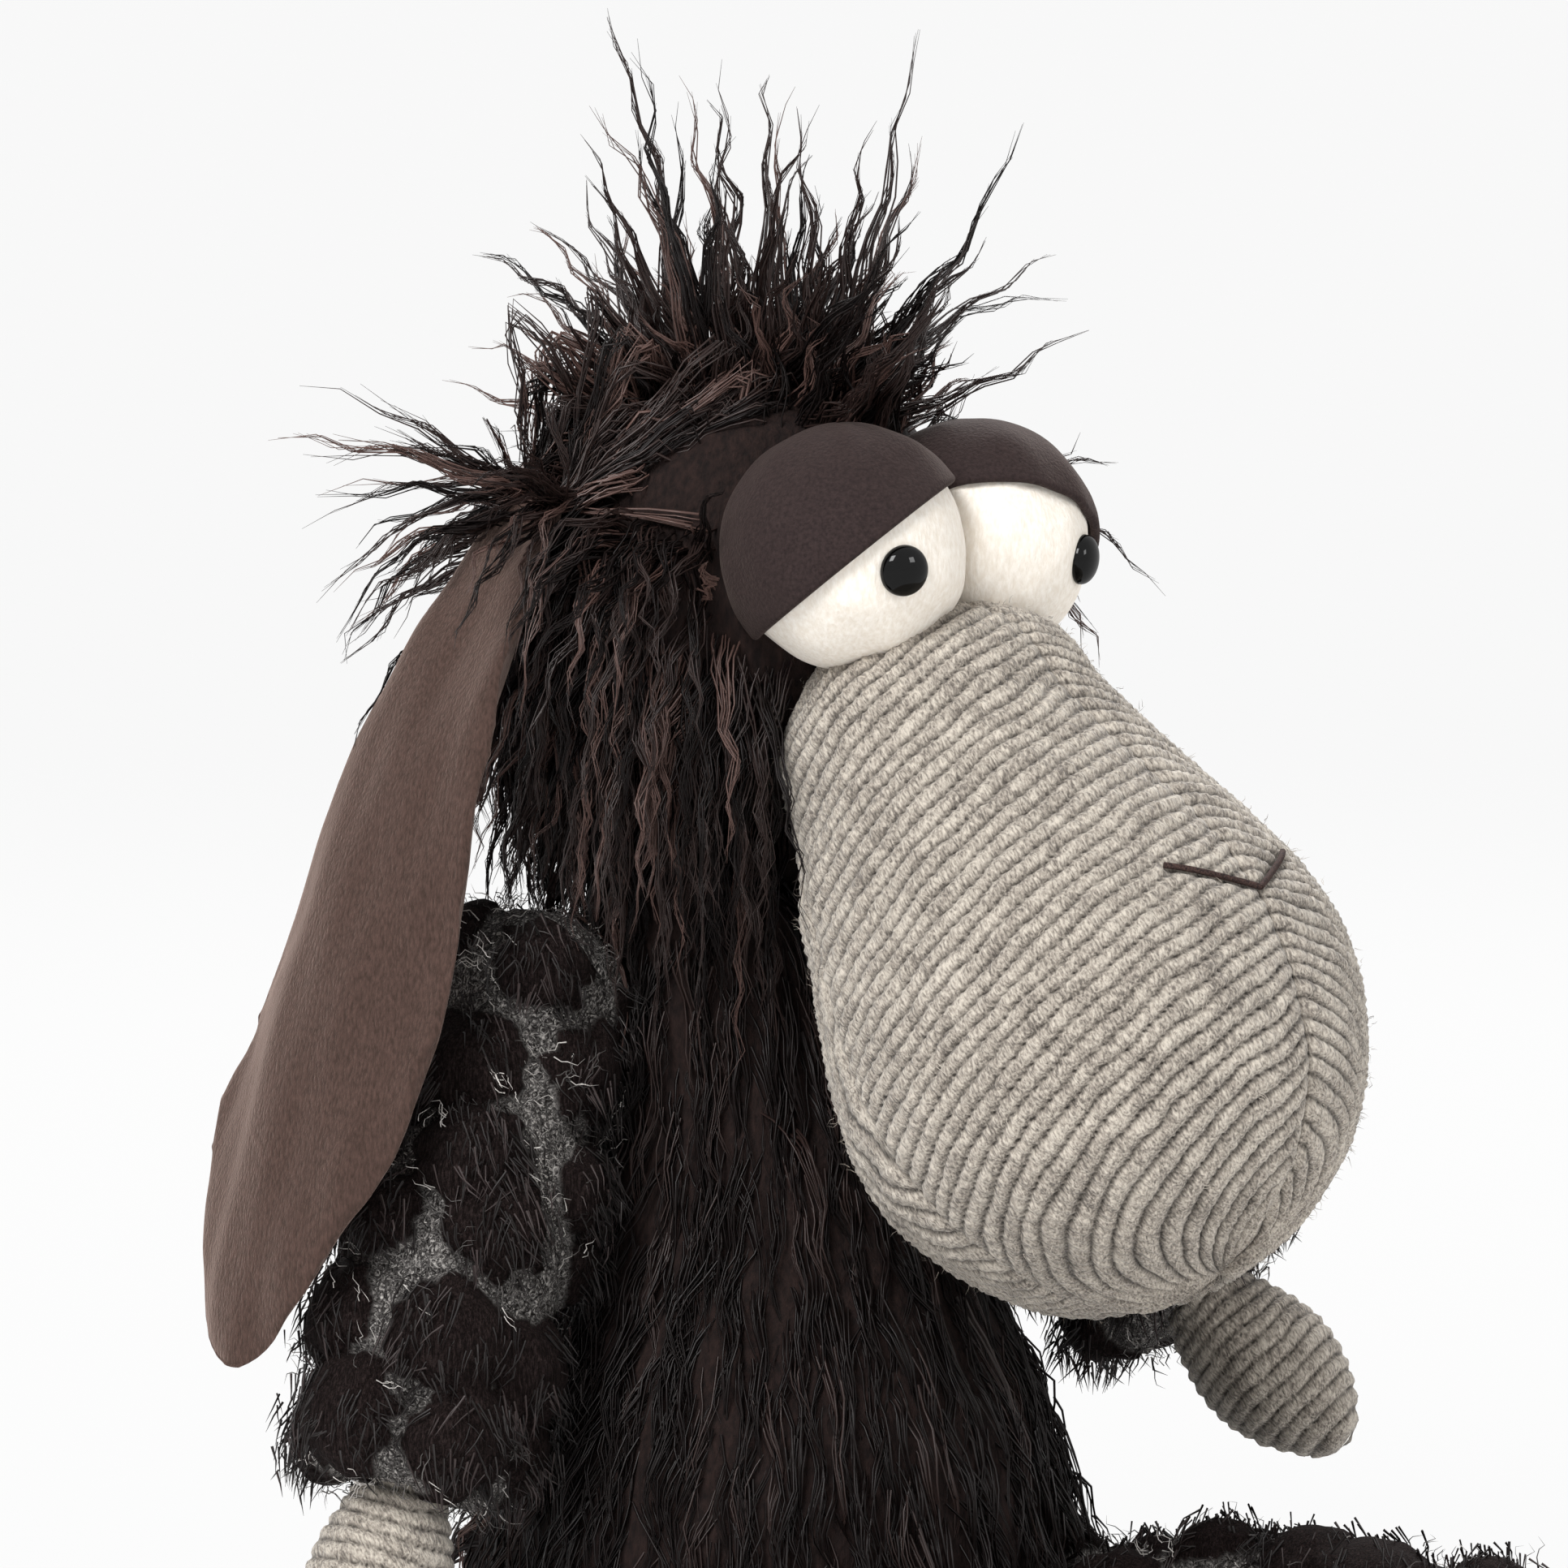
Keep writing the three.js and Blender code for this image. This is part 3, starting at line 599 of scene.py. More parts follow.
def filled(piece: bpy.types.Object, pressure: float, cap_mm: float) -> None:
    """Blows a skin up as cloth round its stuffing, and keeps its size on the whole.

    Args:
        piece: A closed skin of evenly spaced faces.
        pressure: How hard the stuffing presses.
        cap_mm: How far a point may end from its place.
    """
    before, facing = coords(piece.data), normals(piece.data)
    cloth = piece.modifiers.new("Stuffing", "CLOTH")
    cloth.settings.use_pressure = True
    cloth.settings.uniform_pressure_force = pressure
    cloth.settings.effector_weights.gravity = 0
    cloth.settings.quality = 5
    cloth.point_cache.frame_end = 20
    for number in range(1, 21):
        bpy.context.scene.frame_set(number)
    settled(piece)
    moved = coords(piece.data) - before
    outward = (moved * facing).sum(axis=1)
    moved -= facing * outward.mean()
    far = np.linalg.norm(moved, axis=1, keepdims=True)
    moved *= np.minimum(1, cap_mm / np.maximum(far, 1e-9))
    set_coords(piece.data, before + moved)
    bpy.context.scene.frame_set(1)


def finer(piece: bpy.types.Object, levels: int) -> None:
    """Subdivides a piece smoothly."""
    subdivision = piece.modifiers.new("Finer", "SUBSURF")
    subdivision.levels = levels
    subdivision.render_levels = levels
    settled(piece)
    piece.data.shade_smooth()


def dress(
    piece: bpy.types.Object, body: str, slot: str, *materials: bpy.types.Material
) -> bpy.types.Object:
    """Gives a piece its materials and its body.

    Args:
        piece: The finished piece.
        body: The body that carries it.
        slot: The record's material slot. Not used.
        materials: Its materials, unless its mesh already holds them.

    Returns:
        The same piece.
    """
    if materials:
        piece.data.materials.clear()
        for material in materials:
            piece.data.materials.append(material)
    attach(piece, body)
    LOG.info("%s: %d faces on %s", piece.name, len(piece.data.polygons), body)
    return piece


@dataclass(frozen=True)
class Obstacle:
    """A skin that pile lies on and doesn't pass through."""

    tree: BVHTree
    clear_mm: float

    @classmethod
    def of(cls, piece: bpy.types.Object, clear_mm: float) -> "Obstacle":
        """Takes a finished skin."""
        points = coords(piece.data).tolist()
        faces = [tuple(f.vertices) for f in piece.data.polygons]
        return cls(BVHTree.FromPolygons(points, faces), clear_mm)

    def reach(self, place: Vector) -> tuple[Vector, Vector, float]:
        """The nearest point of the skin, its normal and how far the place stands off it."""
        hit, normal, _, gap = self.tree.find_nearest(place, 60.0)
        if hit is None:
            return place, Vector((0, 0, 1)), 60.0
        return hit, normal, gap if (place - hit).dot(normal) >= 0 else -gap

    def pushed(self, place: Vector) -> Vector:
        """The place, moved out of the skin if it is in it or too near."""
        hit, normal, gap = self.reach(place)
        return hit + normal * self.clear_mm if gap < self.clear_mm else place


@dataclass
class RibKnit:
    """The relief of a rib knit: rows of rounded ribs with sharp grooves, each rib a string of loops."""

    pitch_mm: float = 4.1
    depth_mm: float = 1.7
    loop_mm: float = 3.1
    loop_depth_mm: float = 0.5

    def raise_ribs(
        self, mesh: bpy.types.Mesh, across: Array, along: Array, pressed: Array | float = 0.0
    ) -> None:
        """Moves a dense mesh along its normals into ribs and keeps how high each point stands, as the mask
        for the knit's painted groove shade.

        Args:
            mesh: The smooth surface.
            across: How far each vertex is from the first rib, in millimetres.
            along: How far each vertex is along its rib.
            pressed: How flat the ribs are pressed, from 0 to 1, as at a seam.
        """
        points = coords(mesh)
        across = across + 0.55 * wander(points, 26, 3) + 0.2 * wander(points, 9, 4)
        row = np.floor(across / self.pitch_mm)
        share = across / self.pitch_mm - row
        crest = np.sin(math.pi * share) ** 0.55
        jitter = np.sin(row * 12.9898) * 43758.5453
        jitter = (jitter - np.floor(jitter)) * self.loop_mm
        lean = (share - 0.5) * 1.6
        swing = 2 * math.pi * (along + jitter + lean + 0.6 * wander(points, 12, 5)) / self.loop_mm
        loops = 0.5 + 0.5 * np.sin(swing)
        high = crest * (self.depth_mm + self.loop_depth_mm * (loops - 0.5))
        high += 0.12 * wander(points, 2.2, 6)
        high = (high - self.depth_mm) * (1 - 0.7 * pressed)
        set_coords(mesh, points + normals(mesh) * high[:, None])
        # Crest height, a little lower between the loops, which the knit's material turns into painted
        # shade.
        put_points(mesh, "rib_crest", np.clip(crest * (0.8 + 0.2 * loops), 0, 1))


class CordTree:
    """The geometry tree that lays an even round thread along a line."""

    def __init__(self) -> None:
        """Builds the tree."""
        self.tree = bpy.data.node_groups.new("thread along a line", "GeometryNodeTree")
        interface = self.tree.interface
        interface.new_socket("Line", in_out="INPUT", socket_type="NodeSocketGeometry")
        self.sockets = {
            name: interface.new_socket(name, in_out="INPUT", socket_type=kind).identifier
            for name, kind in (
                ("Radius", "NodeSocketFloat"),
                ("Sides", "NodeSocketInt"),
                ("Thread", "NodeSocketMaterial"),
            )
        }
        interface.new_socket("Cord", in_out="OUTPUT", socket_type="NodeSocketGeometry")
        sizes = add_node(self.tree, "NodeGroupInput").outputs
        line = add_node(self.tree, "GeometryNodeMeshToCurve", {}, {"Mesh": sizes["Line"]})
        section = add_node(
            self.tree,
            "GeometryNodeCurvePrimitiveCircle",
            {},
            {"Resolution": sizes["Sides"], "Radius": sizes["Radius"]},
        )
        tube = add_node(
            self.tree,
            "GeometryNodeCurveToMesh",
            {"Fill Caps": True},
            {"Curve": line.outputs[0], "Profile Curve": section.outputs[0]},
        )
        real = add_node(self.tree, "GeometryNodeRealizeInstances", {}, {0: tube.outputs[0]})
        shaded = add_node(
            self.tree,
            "GeometryNodeSetMaterial",
            {},
            {"Geometry": real.outputs[0], "Material": sizes["Thread"]},
        )
        add_node(self.tree, "NodeGroupOutput", {}, {0: shaded.outputs[0]})

    def laid(
        self, name: str, line: Array, radius_mm: float, thread: bpy.types.Material
    ) -> bpy.types.Object:
        """Lays one thread.

        Args:
            name: The piece's name.
            line: The points that it follows, in millimetres.
            radius_mm: Half its thickness.
            thread: Its material.

        Returns:
            The thread as a plain mesh.
        """
        mesh = bpy.data.meshes.new(name)
        steps = [(k, k + 1) for k in range(len(line) - 1)]
        mesh.from_pydata((line * MM).tolist(), steps, [])
        piece = place_mesh(name, mesh)
        modifier = piece.modifiers.new("Thread", "NODES")
        modifier.node_group = self.tree
        modifier[self.sockets["Radius"]] = radius_mm * MM
        modifier[self.sockets["Sides"]] = 10
        modifier[self.sockets["Thread"]] = thread
        settled(piece)
        piece.data.shade_smooth()
        return piece


@dataclass
class Snout:
    """The drooping grey snout: two side panels, a chin panel and the mouth's stitching."""

    finishes: Finishes
    root_mm: tuple[float, float, float] = (0.0, -52.0, 260.0)
    bulb_mm: tuple[float, float, float] = (0.0, -109.5, 182.0)
    radius_mm: float = 63.0
    chin_drop_mm: float = 26.0
    cell_mm: tuple[float, float] = (0.7, 0.9)
    hem_mm: float = 2.6
    rib_lean_deg: float = 15.0
    seam_width_mm: float = 1.5
    seam_depth_mm: float = 1.5
    mouth_mm: tuple[float, float] = (24.0, 15.5)
    mouth_back_mm: float = 4.5
    thread_mm: float = 0.75
    shares: tuple = ((-0.12, 0.42), (0.0, 0.58), (0.22, 0.66), (0.45, 0.79), (0.7, 0.93), (1.0, 1.0))
    knit: RibKnit = field(default_factory=RibKnit)

    def __post_init__(self) -> None:
        """Works out the snout's own directions."""
        self.root, self.bulb = np.array(self.root_mm), np.array(self.bulb_mm)
        self.reach = float(np.linalg.norm(self.bulb - self.root))
        self.axis = (self.bulb - self.root) / self.reach
        self.top = np.cross(self.axis, [1.0, 0.0, 0.0])

    def profile(self, along: Array) -> Array:
        """The snout's radius at distances from its root, smooth through the named shares."""
        places = np.array([a for a, _ in self.shares]) * self.reach
        rounds = np.array([r for _, r in self.shares]) * self.radius_mm
        slopes = np.gradient(rounds, places)
        slopes[-1] = 0
        k = np.clip(np.searchsorted(places, along) - 1, 0, len(places) - 2)
        gap = places[k + 1] - places[k]
        t = (along - places[k]) / gap
        a, b = rounds[k], rounds[k + 1]
        u, v = slopes[k] * gap, slopes[k + 1] * gap
        return (
            (2 * t**3 - 3 * t**2 + 1) * a
            + (t**3 - 2 * t**2 + t) * u
            + (3 * t**2 - 2 * t**3) * b
            + (t**3 - t**2) * v
        )

    def surface(self) -> tuple[Array, list]:
        """The smooth pear as rings round its axis.

        Returns:
            The points and the faces.
        """
        row_mm, column_mm = self.cell_mm
        start = self.shares[0][0] * self.reach
        sides = np.arange(start, self.reach, row_mm)
        turns = np.arange(0, math.pi / 2, row_mm / self.radius_mm)[:-1]
        along = np.concatenate([sides, self.reach + self.radius_mm * np.sin(turns)])
        rounds = np.concatenate([self.profile(sides), self.radius_mm * np.cos(turns)])
        columns = int(2 * math.pi * self.radius_mm / column_mm) // 4 * 4
        angle = np.arange(columns) / columns * 2 * math.pi
        ring = np.sin(angle)[:, None] * np.array([1.0, 0, 0]) + np.cos(angle)[:, None] * self.top
        centres = self.root + along[:, None] * self.axis
        rings = centres[:, None, :] + rounds[:, None, None] * ring[None]
        ends = np.array([centres[0], self.bulb + self.radius_mm * self.axis])
        faces = stacked_rings(rings)
        points = np.concatenate([rings.reshape(-1, 3), ends])
        outward = unit(points - self.nearest_on_axis(points))
        points += outward * (0.9 * wander(points, 60, 11) + 0.35 * wander(points, 24, 12))[:, None]
        return points, faces

    def nearest_on_axis(self, points: Array) -> Array:
        """The places on the middle line that the surface is round."""
        along = np.clip((points - self.root) @ self.axis, None, self.reach)
        return self.root + along[:, None] * self.axis

    def build(self) -> list[bpy.types.Object]:
        """Makes the three panels, their ribs and the mouth, and dresses them.

        Returns:
            The panels.
        """
        made = []
        points, faces = self.surface()
        whole = mesh_from("snout_surface", points, faces)
        face_outwards(whole.data)
        self.closed = Obstacle.of(whole, 1.4)
        self.mouth = {sign: self.mouth_line(sign) for sign in SIDE_NAMES}
        low = self.bulb - self.top * self.chin_drop_mm
        panels = {
            "snout_panel_right": [((0, 0, 0), (-1.0, 0, 0)), (low, self.top)],
            "snout_panel_left": [((0, 0, 0), (1.0, 0, 0)), (low, self.top)],
            "chin_panel": [(low, -self.top)],
        }
        for name, cuts in panels.items():
            piece = place_mesh(name.replace("panel", "knit"), whole.data.copy())
            for place, kept in cuts:
                self.trim(piece.data, np.array(place), np.array(kept))
            self.rib(piece.data, name)
            self.hem(piece.data)
            piece.data.shade_smooth()
            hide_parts(name)
            made.append(dress(piece, "head", "snout_knit", self.finishes.wool))
        bpy.data.objects.remove(whole)
        self.stitch()
        return made

    def mouth_line(self, sign: int) -> Array:
        """One half of the mouth, from the centre seam outwards and back, on the smooth surface.

        Args:
            sign: Which half.

        Returns:
            The line's points.
        """
        share = np.linspace(0, 1, 40)
        wide, rise = self.mouth_mm
        line = []
        for t in share:
            centre = self.bulb - self.axis * (self.mouth_back_mm + (rise - self.mouth_back_mm) * t)
            aim = self.top * self.radius_mm + np.array([sign * wide * t, 0, 0])
            hit = self.closed.tree.ray_cast(Vector(centre), Vector(unit(aim)))[0]
            line.append(np.array(hit))
        return np.array(line)

    def stitch(self) -> None:
        """Lays the mouth's two threads into their grooves."""
        tree = CordTree()
        for sign, side in SIDE_NAMES.items():
            line = self.mouth[sign] - self.top * 0.7
            piece = tree.laid(f"mouth_stitch_{side}", line, self.thread_mm, self.finishes.thread)
            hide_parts(f"mouth_thread_{side}")
            dress(piece, "head", "thread")

    def trim(self, mesh: bpy.types.Mesh, place: Array, kept: Array) -> None:
        """Cuts a mesh along a plane and keeps the side that `kept` points to."""
        shape = bmesh.new()
        shape.from_mesh(mesh)
        bmesh.ops.bisect_plane(
            shape,
            geom=[*shape.verts, *shape.edges, *shape.faces],
            dist=1e-6,
            plane_co=place * MM,
            plane_no=-kept,
            clear_outer=True,
        )
        shape.to_mesh(mesh)
        shape.free()

    def rib(self, mesh: bpy.types.Mesh, name: str) -> None:
        """Raises a panel's ribs and draws in its seams."""
        points = coords(mesh)
        rel = points - self.bulb
        along, across, rise = rel @ self.axis, rel[:, 0], rel @ self.top
        centre_seam = np.where(rise > -self.chin_drop_mm, np.abs(across), 99.0)
        chin_seam = np.abs(rise + self.chin_drop_mm)
        mouth = np.concatenate(list(self.mouth.values()))
        stitched = np.min(np.linalg.norm(points[:, None] - mouth[None, ::2], axis=2), axis=1)
        near_seam = np.minimum(np.minimum(centre_seam, chin_seam), stitched)
        drawn = np.exp(-((near_seam / self.seam_width_mm) ** 2))
        soft = np.exp(-((near_seam / 5.0) ** 2))
        mesh_normals = normals(mesh)
        shift = -(self.seam_depth_mm * drawn + 0.5 * soft)
        set_coords(mesh, points + mesh_normals * shift[:, None])
        if name == "chin_panel":
            rows, run = across + 0.15 * along, along
        else:
            lean = math.radians(self.rib_lean_deg)
            off = np.linalg.norm(points - self.nearest_on_axis(points), axis=1)
            arc = np.arctan2(np.abs(across), rise) * np.minimum(off, self.radius_mm)
            rows = along * math.cos(lean) - arc * math.sin(lean)
            past = np.clip(rows / self.radius_mm, 0, 0.98)
            rows = np.where(rows > 0, self.radius_mm * (0.6 * past + 0.4 * np.arcsin(past)), rows)
            run = np.arctan2(np.abs(across), rise) * self.radius_mm * 0.85
        self.knit.raise_ribs(mesh, rows + 400, run, drawn)

    def hem(self, mesh: bpy.types.Mesh) -> None:
        """Turns the open edges of a panel in, so that no gap shows at a seam."""
        shape = bmesh.new()
        shape.from_mesh(mesh)
        rim = [e for e in shape.edges if e.is_boundary]
        inward = {v: v.normal.copy() for e in rim for v in e.verts}
        made = bmesh.ops.extrude_edge_only(shape, edges=rim)["geom"]
        fresh = [g for g in made if isinstance(g, bmesh.types.BMVert)]
        old = {tuple(round(c, 9) for c in v.co): n for v, n in inward.items()}
        for vertex in fresh:
            normal = old[tuple(round(c, 9) for c in vertex.co)]
            vertex.co -= normal * self.hem_mm * MM
        shape.to_mesh(mesh)
        shape.free()


@dataclass
class Eyes:
    """Two cream balls side by side, each with a plush lid and a domed pupil."""

    finishes: Finishes
    radius_mm: float = 28.0
    centre_mm: tuple[float, float, float] = (22.5, -51.5, 296.0)
    lid_mm: float = 2.5
    lid_drop_mm: float = 1.5
    facing: tuple[float, float, float] = (0.368, 0.51, 0.777)
    gap_mm: float = 0.15
    gaze: tuple[float, float, float] = (0.36, -0.927, -0.107)
    pupil_mm: float = 6.0
    dome_mm: float = 3.6
    shank_mm: float = 2.2

    def ball(self, name: str, centre: Array, sign: int) -> bpy.types.Object:
        """One stuffed ball, flat where it meets its neighbour."""
        rows, columns = 60, 108
        polar = np.linspace(0, math.pi, rows + 2)[1:-1]
        turn = np.arange(columns) / columns * 2 * math.pi
        rings = np.stack(
            [
                np.sin(polar)[:, None] * np.cos(turn),
                -np.sin(polar)[:, None] * np.sin(turn),
                np.cos(polar)[:, None] * np.ones(columns),
            ],
            axis=-1,
        )
        ends = np.array([[0, 0, 1.0], [0, 0, -1.0]])
        points = np.concatenate([rings.reshape(-1, 3), ends])
        puff = 0.35 * wander(points * 30, 22, 20 + sign) + 0.15 * wander(points * 30, 9, 30 + sign)
        points = centre + points * (self.radius_mm + puff - 0.3)[:, None]
        points[:, 0] = sign * self.soft_limit(sign * points[:, 0])
        return mesh_from(name, points, stacked_rings(rings))

    def soft_limit(self, out: Array) -> Array:
        """Presses what would cross the middle flat, with a rounded edge."""
        edge = 3.0
        over = out - self.gap_mm
        return self.gap_mm + np.where(
            over > edge, over, edge * np.exp(np.clip((over - edge) / edge, -20, 0))
        )

    def lid(self, name: str, centre: Array, sign: int) -> bpy.types.Object:
        """The cap of plush over a ball's upper back, rolled under at its edge."""
        facing = unit(np.array([sign * self.facing[0], self.facing[1], self.facing[2]]))
        side = unit(np.cross(facing, [0, 0, 1.0]))
        ahead = np.cross(facing, side)
        inner, outer = self.radius_mm + 0.15, self.radius_mm + self.lid_mm
        end = math.acos(-self.lid_drop_mm / outer)
        polar = np.linspace(0, end, 60)[1:]
        roll = np.linspace(0, math.pi, 9)[1:]
        middle, half = (inner + outer) / 2, (outer - inner) / 2
        rim_polar = end + half / middle * np.sin(roll)
        rim_out = middle + half * np.cos(roll)
        back = np.linspace(end, 0, 20)[1:-1]
        polars = np.concatenate([polar, rim_polar, back])
        outs = np.concatenate([np.full(len(polar), outer), rim_out, np.full(len(back), inner)])
        turn = np.arange(96) / 96 * 2 * math.pi
        ring = np.cos(turn)[:, None] * side + np.sin(turn)[:, None] * ahead
        rings = outs[:, None, None] * (
            np.sin(polars)[:, None, None] * ring + np.cos(polars)[:, None, None] * facing
        )
        ends = np.array([facing * outer, facing * inner])
        points = np.concatenate([rings.reshape(-1, 3), ends])
        points += unit(points) * (0.3 * wander(points, 16, 40 + sign))[:, None]
        points += centre
        points[:, 0] = sign * self.soft_limit(sign * points[:, 0])
        piece = mesh_from(name, points, stacked_rings(rings))
        face_outwards(piece.data)
        return piece

    def pupil(self, name: str, centre: Array, sign: int) -> bpy.types.Object:
        """A domed safety eye, turned from its outline, with its shank through the plush."""
        gaze = unit(np.array([sign * self.gaze[0], self.gaze[1], self.gaze[2]]))
        side = unit(np.cross(gaze, [0, 0, 1.0]))
        ahead = np.cross(gaze, side)
        turns = np.linspace(0, math.pi / 2, 20)
        wide = np.concatenate(
            [
                self.pupil_mm * np.sin(turns[1:]),
                [self.pupil_mm, self.pupil_mm - 0.3, self.shank_mm, self.shank_mm],
            ]
        )
        out = np.concatenate([self.dome_mm * np.cos(turns[1:]), [-0.5, -0.8, -0.8, -12.0]])
        turn = np.arange(64) / 64 * 2 * math.pi
        ring = np.cos(turn)[:, None] * side + np.sin(turn)[:, None] * ahead
        base = centre + gaze * (self.radius_mm - 0.1)
        rings = base + wide[:, None, None] * ring[None] + out[:, None, None] * gaze
        ends = np.array([base + gaze * self.dome_mm, base - gaze * 12.0])
        points = np.concatenate([rings.reshape(-1, 3), ends])
        piece = mesh_from(name, points, stacked_rings(rings))
        face_outwards(piece.data)
        return piece

    def build(self) -> list[bpy.types.Object]:
        """Makes both eyes and dresses them.

        Returns:
            The balls and lids.
        """
        made = []
        for sign, side in SIDE_NAMES.items():
            x, y, z = self.centre_mm
            centre = np.array([sign * x, y, z])
            ball = self.ball(f"eye_plush_{side}", centre, sign)
            face_outwards(ball.data)
            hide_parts(f"eye_ball_{side}")
            made.append(dress(ball, "head", "eye_plush", self.finishes.eye))
            lid = self.lid(f"lid_plush_{side}", centre, sign)
            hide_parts(f"eyelid_{side}")
            made.append(dress(lid, "head", "eyelid_plush", self.finishes.lid))
            pupil = self.pupil(f"pupil_dome_{side}", centre, sign)
            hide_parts(f"pupil_{side}")
            dress(pupil, "head", "pupil_gloss", self.finishes.gloss)
        return made


def face_outwards(mesh: bpy.types.Mesh) -> None:
    """Turns the faces of a closed mesh outwards."""
    shape = bmesh.new()
    shape.from_mesh(mesh)
    bmesh.ops.recalc_face_normals(shape, faces=shape.faces)
    shape.to_mesh(mesh)
    shape.free()


@dataclass
class Ears:
    """Long flat ears, each two plush panels sewn round the edge."""

    finishes: Finishes
    voxel_mm: float = 3.0
    smoothing: int = 120
    pressure: float = 4.0
    cap_mm: float = 3.0
    fold_mm: float = 2.3

    def build(self) -> list[bpy.types.Object]:
        """Makes both ears from their solids and dresses them.

        Returns:
            The ears.
        """
        made = []
        for side in SIDE_NAMES.values():
            nodes = [f"ear_outer_{side}", f"ear_inner_{side}"]
            piece = outer_skin(f"ear_plush_{side}", nodes, self.voxel_mm)
            cut = coords(piece.data)
            relaxed(piece, self.smoothing)
            filled(piece, self.pressure, self.cap_mm)
            self.stretch(piece.data, cut)
            finer(piece, 1)
            self.fold(piece.data)
            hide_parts(*nodes)
            made.append(dress(piece, f"ear_{side}", "ear_plush", self.finishes.ear))
        return made

    def stretch(self, mesh: bpy.types.Mesh, cut: np.ndarray) -> None:
        """Gives a smoothed ear back the length and width that its panels were cut to."""
        middle = cut.mean(axis=0)
        _, _, ways = np.linalg.svd(cut - middle, full_matrices=False)
        points = coords(mesh)
        for way in ways[:2]:
            was, now = (cut - middle) @ way, (points - middle) @ way
            even = was.min() + (now - now.min()) * np.ptp(was) / np.ptp(now)
            points = points + np.outer(even - now, way)
        set_coords(mesh, points)

    def fold(self, mesh: bpy.types.Mesh) -> None:
        """Lays long soft folds down an ear, which move both its faces the same way."""
        points = coords(mesh)
        _, _, ways = np.linalg.svd(points - points.mean(axis=0), full_matrices=False)
        thin = ways[2]
        lengthwise = points * np.array([1.0, 1.0, 0.22])
        lengthwise -= np.outer(lengthwise @ thin, thin)
        high = self.fold_mm * (wander(lengthwise, 26, 51) + 0.2 * wander(lengthwise, 11, 52))
        set_coords(mesh, points + high[:, None] * thin)


@dataclass
class Body:
    """Torso and head: pile backing, blown up round its stuffing."""

    finishes: Finishes
    voxel_mm: float = 5.0
    small_voxel_mm: float = 2.5
    cap_mm: float = 3.0

    def build(self) -> dict[str, bpy.types.Object]:
        """Makes the two skins that the long pile grows on.

        Returns:
            The skins by the name of their body.
        """
        skins = {}
        for body, nodes in {
            "torso": ["torso_cover", "torso_stuffing"],
            "head": ["head_cover", "head_stuffing"],
            "neck": ["neck_roll"],
            "tail": ["tail"],
            "seat": ["seat_panel"],
        }.items():
            small = body in ("neck", "tail", "seat")
            fine = 0.0 if body == "seat" else self.small_voxel_mm
            piece = outer_skin(f"{body}_backing", nodes, fine if small else self.voxel_mm)
            if body != "seat":
                relaxed(piece, 4)
            if not small:
                filled(piece, 4.0, self.cap_mm)
            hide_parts(nodes[0])
            carrier = "torso" if body == "seat" else body
            dress(piece, carrier, "shaggy_fur", self.finishes.backing)
            skins[body] = piece
        return skins


@dataclass
class Limbs:
    """Arms and legs in curled grey plush, with knitted hands and feet."""

    finishes: Finishes
    voxel_mm: float = 4.0
    cap_mm: float = 2.0
    knit: RibKnit = field(default_factory=lambda: RibKnit(depth_mm=1.2, loop_depth_mm=0.35))

    def build(self) -> dict[str, bpy.types.Object]:
        """Makes the sleeves and mitts.

        Returns:
            The sleeves by name, for their tufts.
        """
        sleeves = {}
        for side in SIDE_NAMES.values():
            for kind, tip in (("arm", "hand"), ("leg", "foot")):
                sleeve = self.sleeve(kind, side)
                sleeves[f"{kind}_{side}"] = sleeve
                self.mitt(tip, side, sleeve)
        return sleeves

    def sleeve(self, kind: str, side: str) -> bpy.types.Object:
        """One arm or leg."""
        nodes = [f"{kind}_cover_{side}", f"{kind}_stuffing_{side}"]
        piece = outer_skin(f"{kind}_sleeve_{side}", nodes, self.voxel_mm)
        relaxed(piece, 4)
        filled(piece, 4.0, self.cap_mm)
        finer(piece, 1)
        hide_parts(nodes[0])
        return dress(piece, f"{kind}_{side}", "sleeve_fur", self.finishes.curl_ground)

    def mitt(self, kind: str, side: str, sleeve: bpy.types.Object) -> bpy.types.Object:
        """One hand or foot, ribbed across its length."""
        nodes = [f"{kind}_cover_{side}", f"{kind}_stuffing_{side}"]
        piece = outer_skin(f"{kind}_mitt_{side}", nodes, self.voxel_mm)
        relaxed(piece, 4)
        filled(piece, 4.0, self.cap_mm)
        finer(piece, 2 if kind == "foot" else 2)
        points = coords(piece.data)
        away = unit(points.mean(axis=0) - coords(sleeve.data).mean(axis=0))
        rel = points - points.mean(axis=0)
        along = rel @ away
        side_way = unit(np.cross(away, [0.3, 0.2, 0.9]))
        other = np.cross(away, side_way)
        turn = np.arctan2(rel @ side_way, rel @ other)
        self.knit.raise_ribs(piece.data, along + 200, turn * 18)
        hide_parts(nodes[0])
        return dress(piece, f"{kind}_{side}", "hoof_knit", self.finishes.wool)


@dataclass(frozen=True)
class Coat:
    """How one stretch of pile grows: long locks of fine hairs that narrow to a point."""

    length_mm: tuple[float, float] = (42.0, 58.0)
    lift: float = 0.5
    droop: float = 0.5
    lock_mm: float = 3.6
    hair_mm: float = 0.24
    hairs: int = 12
    points: int = 10
    wave_mm: float = 1.3
    wave_length_mm: float = 15.0
    frizz_mm: float = 3.0
    clump: float = 0.95
    steps: int = 9


